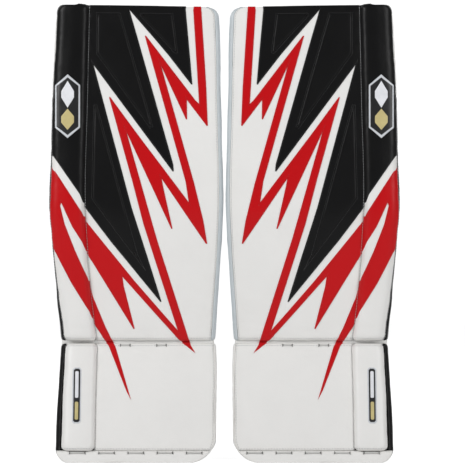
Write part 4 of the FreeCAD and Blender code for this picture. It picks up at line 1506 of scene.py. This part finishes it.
def strapPiece(name, node, section):  # flat webbing with a rounded free end
    points = nodePoints("left_" + node, section)
    low, high = points.min(0), points.max(0)
    width = high[2] - low[2] - 0.4
    middle = (low + high) / 2
    across = np.linspace(high[0] - 0.6, low[0] + 0.3, 110)
    path = section.place(np.column_stack([across, np.tile(middle[1:], (len(across), 1))]))
    normals = np.tile(section.back, (len(path), 1))
    ribbon = sweep(name, path, normals, oval(width, strapSizes["thickness"], 28, 7), webbing)
    where = section.read(objectPoints(ribbon))
    short = np.clip(strapSizes["corner"] - (where[:, 0] - low[0]), 0, None)
    narrow = strapSizes["corner"] - np.sqrt(np.maximum(strapSizes["corner"] ** 2 - short ** 2, 0))
    limit = width / 2 - narrow
    where[:, 2] = middle[2] + np.clip(where[:, 2] - middle[2], -limit, limit)
    setPoints(ribbon, section.place(where))
    return ribbon, low, high, middle, width


def boxStitches(section, x, s, sizeX, sizeS, depth, crossed=True):  # a sewn box, with its diagonals
    halfX, halfS = sizeX / 2, sizeS / 2
    turns = ((-1, -1), (1, -1), (1, 1), (-1, 1))
    corners = [(x + halfX * a, s + halfS * b) for a, b in turns]
    ways = [(corners[k], corners[(k + 1) % 4]) for k in range(4)]
    if crossed:
        ways += [(corners[0], corners[2]), (corners[1], corners[3])]
    places = []
    for a, b in ways:
        line = np.linspace(a, b, 24)
        path = section.place(np.column_stack([line[:, 0], np.full(24, depth), line[:, 1]]))
        places.append(stitched(path, np.tile(section.back, (24, 1)), strapSizes["pitch"]))
    return places


for node, section in (("knee_strap", shinSection), ("calf_strap", shinSection), ("boot_strap", bootSection)):
    ribbon, low, high, middle, width = strapPiece(node.replace("_", ""), node, section)
    outside = middle[1] + strapSizes["thickness"] / 2 + 0.1
    hookMiddle = low[0] + strapSizes["hookFrom"] + strapSizes["hook"] / 2
    rootMiddle = high[0] - strapSizes["boxFrom"]
    places = boxStitches(section, rootMiddle, middle[2], strapSizes["box"], width - 10, outside)
    places += boxStitches(section, hookMiddle, middle[2], strapSizes["hook"], width - 8, outside, False)
    threads = repeatAlong(node.replace("_", "") + "Stitches", "stitches", places, fineStitch, greyThread)
    fit(ribbon, node, "webbing", (node,))
    fit(threads, node, "lace")
print("straps made")

# The hard parts keep the frame's shape and get their finish here.
hardParts = {
    "toe_bridge": bridgeNylon,
    "toe_bridge_screws": plateSteel,
    "toe_tab": webbingTab,
    "toe_ring": plateSteel,
    "calf_keeper": bridgeNylon,
}
for side in ("left", "right"):
    for node, material in hardParts.items():
        part = bpy.data.objects[side + "_" + node]
        if not part.material_slots:
            part.data.materials.append(material)
        for materialSlot in part.material_slots:
            materialSlot.material = material
print("hard parts finished")

view = {  # in mm; the width is what the frame takes in at the face of the pads
    "width": 744,
    "centreX": 12.8,
    "centreZ": 365.6,
    "distance": 4000,
    "facePlane": -60,
    "sensor": 36,
}
camera = bpy.data.objects.new("camera", bpy.data.cameras.new("camera"))
camera.data.sensor_width = view["sensor"]
camera.data.lens = view["sensor"] * view["distance"] / view["width"]
camera.location = (view["centreX"] * mm, (view["facePlane"] - view["distance"]) * mm, view["centreZ"] * mm)
camera.rotation_euler = (math.pi / 2, 0, 0)
bpy.context.scene.collection.objects.link(camera)
bpy.context.scene.camera = camera


softLights = {  # each lamp's place, the height it looks at, its size in metres and its power
    "keyLight": ((-1.9, -1.7, 1.6), 0.42, (1.0, 1.2), 43),
    "fillLight": ((1.9, -1.8, 1.4), 0.40, (1.2, 1.6), 32),
    "backLeftLight": ((-1.8, 1.9, 1.5), 0.4, (1.2, 1.6), 24),
    "backRightLight": ((1.8, 1.9, 1.3), 0.4, (1.2, 1.6), 20),
}
for name, (place, height, size, power) in softLights.items():
    lamp = bpy.data.lights.new(name, "AREA")
    lamp.shape, lamp.size, lamp.size_y, lamp.energy = "RECTANGLE", size[0], size[1], power
    light = bpy.data.objects.new(name, lamp)
    light.location = place
    light.rotation_euler = (Vector((0, 0, height)) - Vector(place)).to_track_quat("-Z", "Y").to_euler()
    bpy.context.scene.collection.objects.link(light)

world = bpy.data.worlds.new("studio")
world.use_nodes = True
sky = Wire(world.node_tree)
seen = sky.node("ShaderNodeLightPath", output="Is Camera Ray")
backdrop = world.node_tree.nodes["Background"].inputs
backdrop["Color"].default_value = (1, 1, 1, 1)
sky.put(backdrop["Strength"], 0.16 + 0.9 * seen)  # paler behind than it lights
bpy.context.scene.world = world
bpy.context.scene.view_settings.view_transform = "Standard"

floorMaterial, wire, shader = startMaterial("floorPaper", {"Roughness": 0.9, "Specular IOR Level": 0.1})
wire.put(shader.inputs["Base Color"], (0.40, 0.40, 0.40, 1))
seen = wire.node("ShaderNodeLightPath", output="Is Camera Ray")
wire.put(shader.inputs["Emission Color"], wire.mix((0.42, 0.42, 0.42, 1), (1, 1, 1, 1), seen))
wire.put(shader.inputs["Emission Strength"], 0.93)
reach = 6
floorCorners = [(-reach, -reach, 0), (reach, -reach, 0), (reach, reach, 0), (-reach, reach, 0)]
floor = newPiece("floor", floorCorners, [(0, 1, 2, 3)], floorMaterial, smooth=False)
